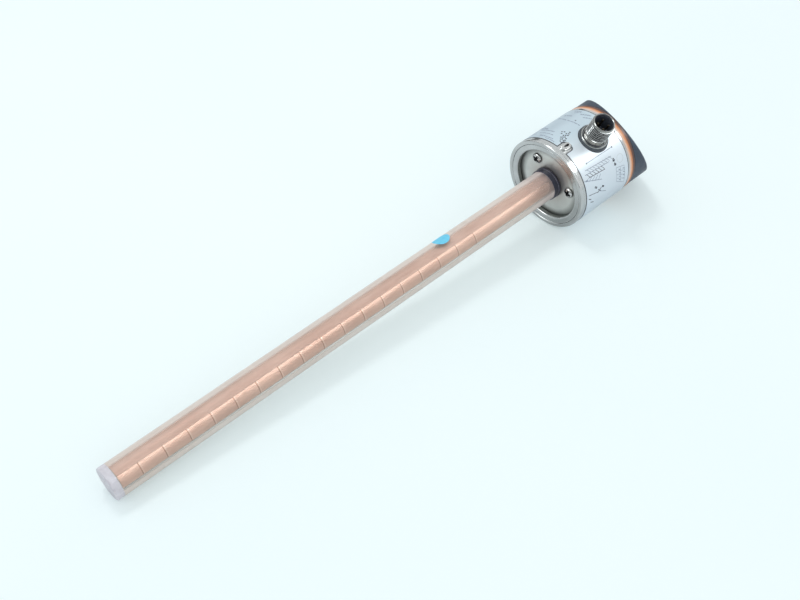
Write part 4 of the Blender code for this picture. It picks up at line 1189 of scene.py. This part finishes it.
def finish_hidden_nodes():
    """Gives every solid that stays as it is a material of its own kind."""
    dark_plastic = speckled("moulded_plastic", (34, 38, 44), (48, 53, 60), 0.5, 900.0)
    slate = speckled("insert_plastic", (70, 77, 87), (88, 96, 107), 0.45, 900.0)
    resin = speckled("cast_resin", (30, 32, 36), (44, 46, 52), 0.32, 300.0)
    board = speckled("solder_mask", (12, 70, 44), (22, 96, 62), 0.35, 500.0)
    white = speckled("core_plastic", (196, 192, 184), (222, 219, 212), 0.5, 500.0)
    red = speckled("display_block", (60, 20, 20), (84, 30, 28), 0.3, 700.0)
    # Gold darkened to painted shade for the pins in the connector's bore.
    gold = brushed("pin_gold", (54, 50, 42), (76, 69, 56), 0.6, (1.0, 1.0, 0.1))
    zinc = brushed("small_screw_steel", (150, 152, 154), (196, 198, 200), 0.3, (0.1, 1.0, 1.0))
    rubber = speckled("seal_rubber", (30, 33, 38), (44, 48, 54), 0.6, 1200.0)
    nickel = brushed("nut_nickel", (150, 148, 142), (190, 188, 182), 0.3, (1.0, 1.0, 0.1))
    rules = {"board_carrier": dark_plastic, "electronics_module": resin, "main_board": board,
             "display_board": board, "probe_core": white, "display_module": red,
             "flange_gasket": rubber, "connector_nut": nickel, "connector_insert": slate,
             "tact_switch": dark_plastic, "contact_pin": gold, "board_screw": zinc}
    for name, node in frame["nodes"].items():
        for start, finish in rules.items():
            if name.startswith(start):
                node.data.materials.clear()
                node.data.materials.append(finish)


def floor_paint():
    """A matt floor, nearly white with a cool tint.

    A share of what the camera sees is a glow of its own that lights nothing, so that the shadow
    stays and is as light as in the photo.
    """
    paint = Paint("floor")
    mottle = paint.noise(3.0, 2.0)
    seen = paint.ramp(mottle, (0.3, (0.87, 0.985, 1.0, 1.0)), (0.7, (0.9, 1.0, 1.0, 1.0)))
    path = paint.node("ShaderNodeLightPath")
    either = paint.math("MAXIMUM", path.outputs["Is Camera Ray"], path.outputs["Is Transmission Ray"])
    colour = paint.mix(either, (0.80, 0.86, 0.87, 1.0), paint.mix(FLOOR_GLOW, seen, BLACK))
    paint.set(Base_Color=colour, Roughness=0.9, Specular_IOR_Level=0.05, Emission_Color=seen,
              Emission_Strength=paint.math("MULTIPLY", either, FLOOR_GLOW * GLOW_STRENGTH))
    return paint.material


# Room

def build_floor():
    bm = bmesh.new()
    places = [FLOOR_SIZE * (i / FLOOR_STEPS - 0.5) for i in range(FLOOR_STEPS + 1)]
    rows = [[bm.verts.new((x, y, FLOOR_HEIGHT)) for x in places] for y in places]
    for low, high in zip(rows, rows[1:]):
        for j in range(FLOOR_STEPS):
            bm.faces.new((low[j], low[j + 1], high[j + 1], high[j]))
    mesh = finished("floor", bm)
    mesh.materials.append(floor_paint())
    placed("floor", mesh)


def lamp(name, spot, size, power, colour):
    """A round soft light that faces the middle of the floor."""
    data = bpy.data.lights.new(name, "AREA")
    data.shape = "DISK"
    data.size = size
    data.energy = power
    data.color = colour
    made = placed(name, data)
    made.location = spot
    made.rotation_euler = (-Vector(spot)).to_track_quat("-Z", "Y").to_euler()


class Room(Nodes):
    """The world's nodes: levels of light by direction."""

    def __init__(self, tree):
        super().__init__(tree)
        self.place = self.node("ShaderNodeTexCoord").outputs["Generated"]

    def along(self, aim):
        """How far a direction goes along an aim."""
        made = self.node("ShaderNodeVectorMath", operation="DOT_PRODUCT")
        self.join(self.place, made.inputs[0])
        made.inputs[1].default_value = aim
        return made.outputs["Value"]

    def smooth(self, value, nothing, full):
        """Goes softly from 0 to 1 as a value goes from one level to another."""
        made = self.node("ShaderNodeMapRange", interpolation_type="SMOOTHSTEP")
        self.join(value, made.inputs["Value"])
        made.inputs["From Min"].default_value = nothing
        made.inputs["From Max"].default_value = full
        return made.outputs["Result"]

    def toward(self, aim, inner, outer):
        """A round patch of the room: 1 inside the inner angle and 0 outside the outer one."""
        edges = [math.cos(math.radians(degrees)) for degrees in (outer, inner)]
        return self.smooth(self.along(Vector(aim).normalized()), *edges)

    def blend(self, share, first, second):
        """The first level where the share is 0, the second where it is 1."""
        rest = self.math("SUBTRACT", 1.0, share)
        return self.math("ADD", self.math("MULTIPLY", first, rest), self.math("MULTIPLY", second, share))

    def level(self):
        """What polished faces mirror: a pale room with a dark foot, and two bright panels."""
        height = self.along((0.0, 0.0, 1.0))
        wall = self.blend(self.smooth(height, 0.16, 0.26), 0.12, 0.9)
        wall = self.blend(self.smooth(height, 0.02, 0.0), wall, 0.62)
        wall = self.blend(self.toward((-0.4, 0.9, 0.2), 25.0, 40.0), wall, 0.9)
        wall = self.blend(self.toward((0.93, 0.35, 0.1), 12.0, 26.0), wall, 0.1)
        wall = self.blend(self.toward((0.68, -0.42, 0.6), 9.0, 15.0), wall, 5.0)
        off = self.math("ABSOLUTE", self.along((0.0, -math.sin(PANEL_SLOPE), math.cos(PANEL_SLOPE))))
        sides = (self.smooth(self.along((0.0, 1.0, 0.0)), 0.0, 0.1),
                 self.smooth(self.along((1.0, 0.0, 0.0)), 0.4, 0.2))
        panel = self.smooth(off, 0.2, 0.06)
        for side in sides:
            panel = self.math("MULTIPLY", panel, side)
        return self.blend(panel, wall, 6.0)


def build_light():
    """A soft light from above and behind, a wide one at the camera's side, and a pale room."""
    lamp("top_light", (0.0, -0.5, 1.12), 0.3, 2.6, (1.0, 0.985, 0.97))
    lamp("side_light", (0.15, 0.9, 0.8), 1.0, 1.1, (1.0, 0.99, 0.97))
    world = bpy.data.worlds.new("studio")
    bpy.context.scene.world = world
    world.use_nodes = True
    room = Room(world.node_tree)
    tinted = room.node("ShaderNodeVectorMath", operation="SCALE")
    tinted.inputs[0].default_value = (0.96, 0.99, 1.0)
    room.join(room.level(), tinted.inputs["Scale"])
    mirrored = room.node("ShaderNodeLightPath").outputs["Is Glossy Ray"]
    colour = room.mix(mirrored, (0.75, 0.77, 0.79, 1.0), tinted.outputs["Vector"])
    back = room.tree.nodes["Background"]
    room.join(colour, back.inputs["Color"])
    back.inputs["Strength"].default_value = 1.0


def build_camera():
    data = bpy.data.cameras.new("camera")
    data.lens = CAMERA_LENS
    data.sensor_width = 36.0
    data.clip_start = 0.01
    camera = placed("camera", data)
    camera.location = SENSOR.translation + CAMERA_OFFSET
    camera.rotation_euler = CAMERA_LOOK.to_track_quat("-Z", "Y").to_euler()
    bpy.context.scene.camera = camera


def build_sensor():
    steel = brushed("can_steel", (192, 195, 195), (210, 213, 213), 0.17, (1.0, 0.12, 0.12), 700.0, 0.02)
    plate = plate_paint()
    bright = brushed("screw_steel", (180, 182, 182), (226, 226, 224), 0.09, (0.2, 1.0, 1.0))
    shaded = brushed("recess_steel", (26, 26, 28), (48, 48, 50), 0.4, (0.2, 1.0, 1.0))
    nickel = brushed("connector_nickel", (150, 152, 150), (186, 187, 184), 0.14, (1.0, 1.0, 0.15))
    rubber = speckled("rubber", (62, 68, 75), (84, 91, 98), 0.45, 1500.0)
    blue_rubber = speckled("collar_rubber", (40, 42, 56), (56, 58, 74), 0.4, 1500.0)
    lining = speckled("bore_lining", (46, 50, 58), (62, 67, 76), 0.45, 900.0)
    # Pale finish for the collar's painted highlight.
    grey_line = speckled("collar_line", (150, 148, 160), (180, 176, 190), 0.4, 1500.0)
    black = speckled("cover_plastic", (57, 67, 80), (70, 81, 95), 0.48, 1300.0, bump=0.16,
                     Specular_IOR_Level=0.3)
    grey = speckled("button_plastic", (120, 122, 126), (140, 142, 146), 0.42, 1100.0)
    # Dark finish for the painted shade along the label's edges.
    edge = speckled("label_edge", (52, 56, 62), (72, 76, 82), 0.5, 900.0)
    inks = [speckled("dark_ink", (50, 54, 66), (70, 75, 88), 0.5, 900.0),
            speckled("grey_ink", (128, 140, 160), (150, 162, 180), 0.5, 900.0),
            speckled("pale_ink", (190, 202, 206), (204, 214, 216), 0.5, 900.0)]
    strip = copper_paint("copper_strip", (214, 173, 155), (234, 197, 179), 0.42, 0.5, grooved=True)
    wrap = copper_paint("copper_wrap", (211, 172, 156), (226, 192, 178), 0.5, 0.3)
    blue = speckled("sticker_blue", (98, 204, 240), (122, 216, 246), 0.4, 700.0)
    # Darker steel for the can's fold: painted shade.
    fold = speckled("fold_steel", (118, 123, 120), (140, 145, 141), 0.42, 900.0, Metallic=0.35)
    build_can(steel, fold)
    build_plate(plate)
    build_screws([bright, shaded])
    build_lug([bright, shaded])
    build_label(label_paint(), edge, inks)
    build_connector(nickel, lining, thread_paint())
    build_gasket(rubber)
    build_tube(tube_paint(), bore_paint(), end_paint())
    build_foils(strip, wrap)
    build_bore_end(speckled("bore_edge", (176, 180, 172), (194, 197, 190), 0.5, 900.0))
    build_collar(blue_rubber, grey_line)
    build_sticker(blue)
    build_ring(ring_paint())
    build_cover(black)
    build_window(smoked_paint())
    build_buttons(grey)


bpy.context.scene.view_settings.view_transform = "Standard"
build_sensor()
finish_hidden_nodes()
build_floor()
build_light()
build_camera()
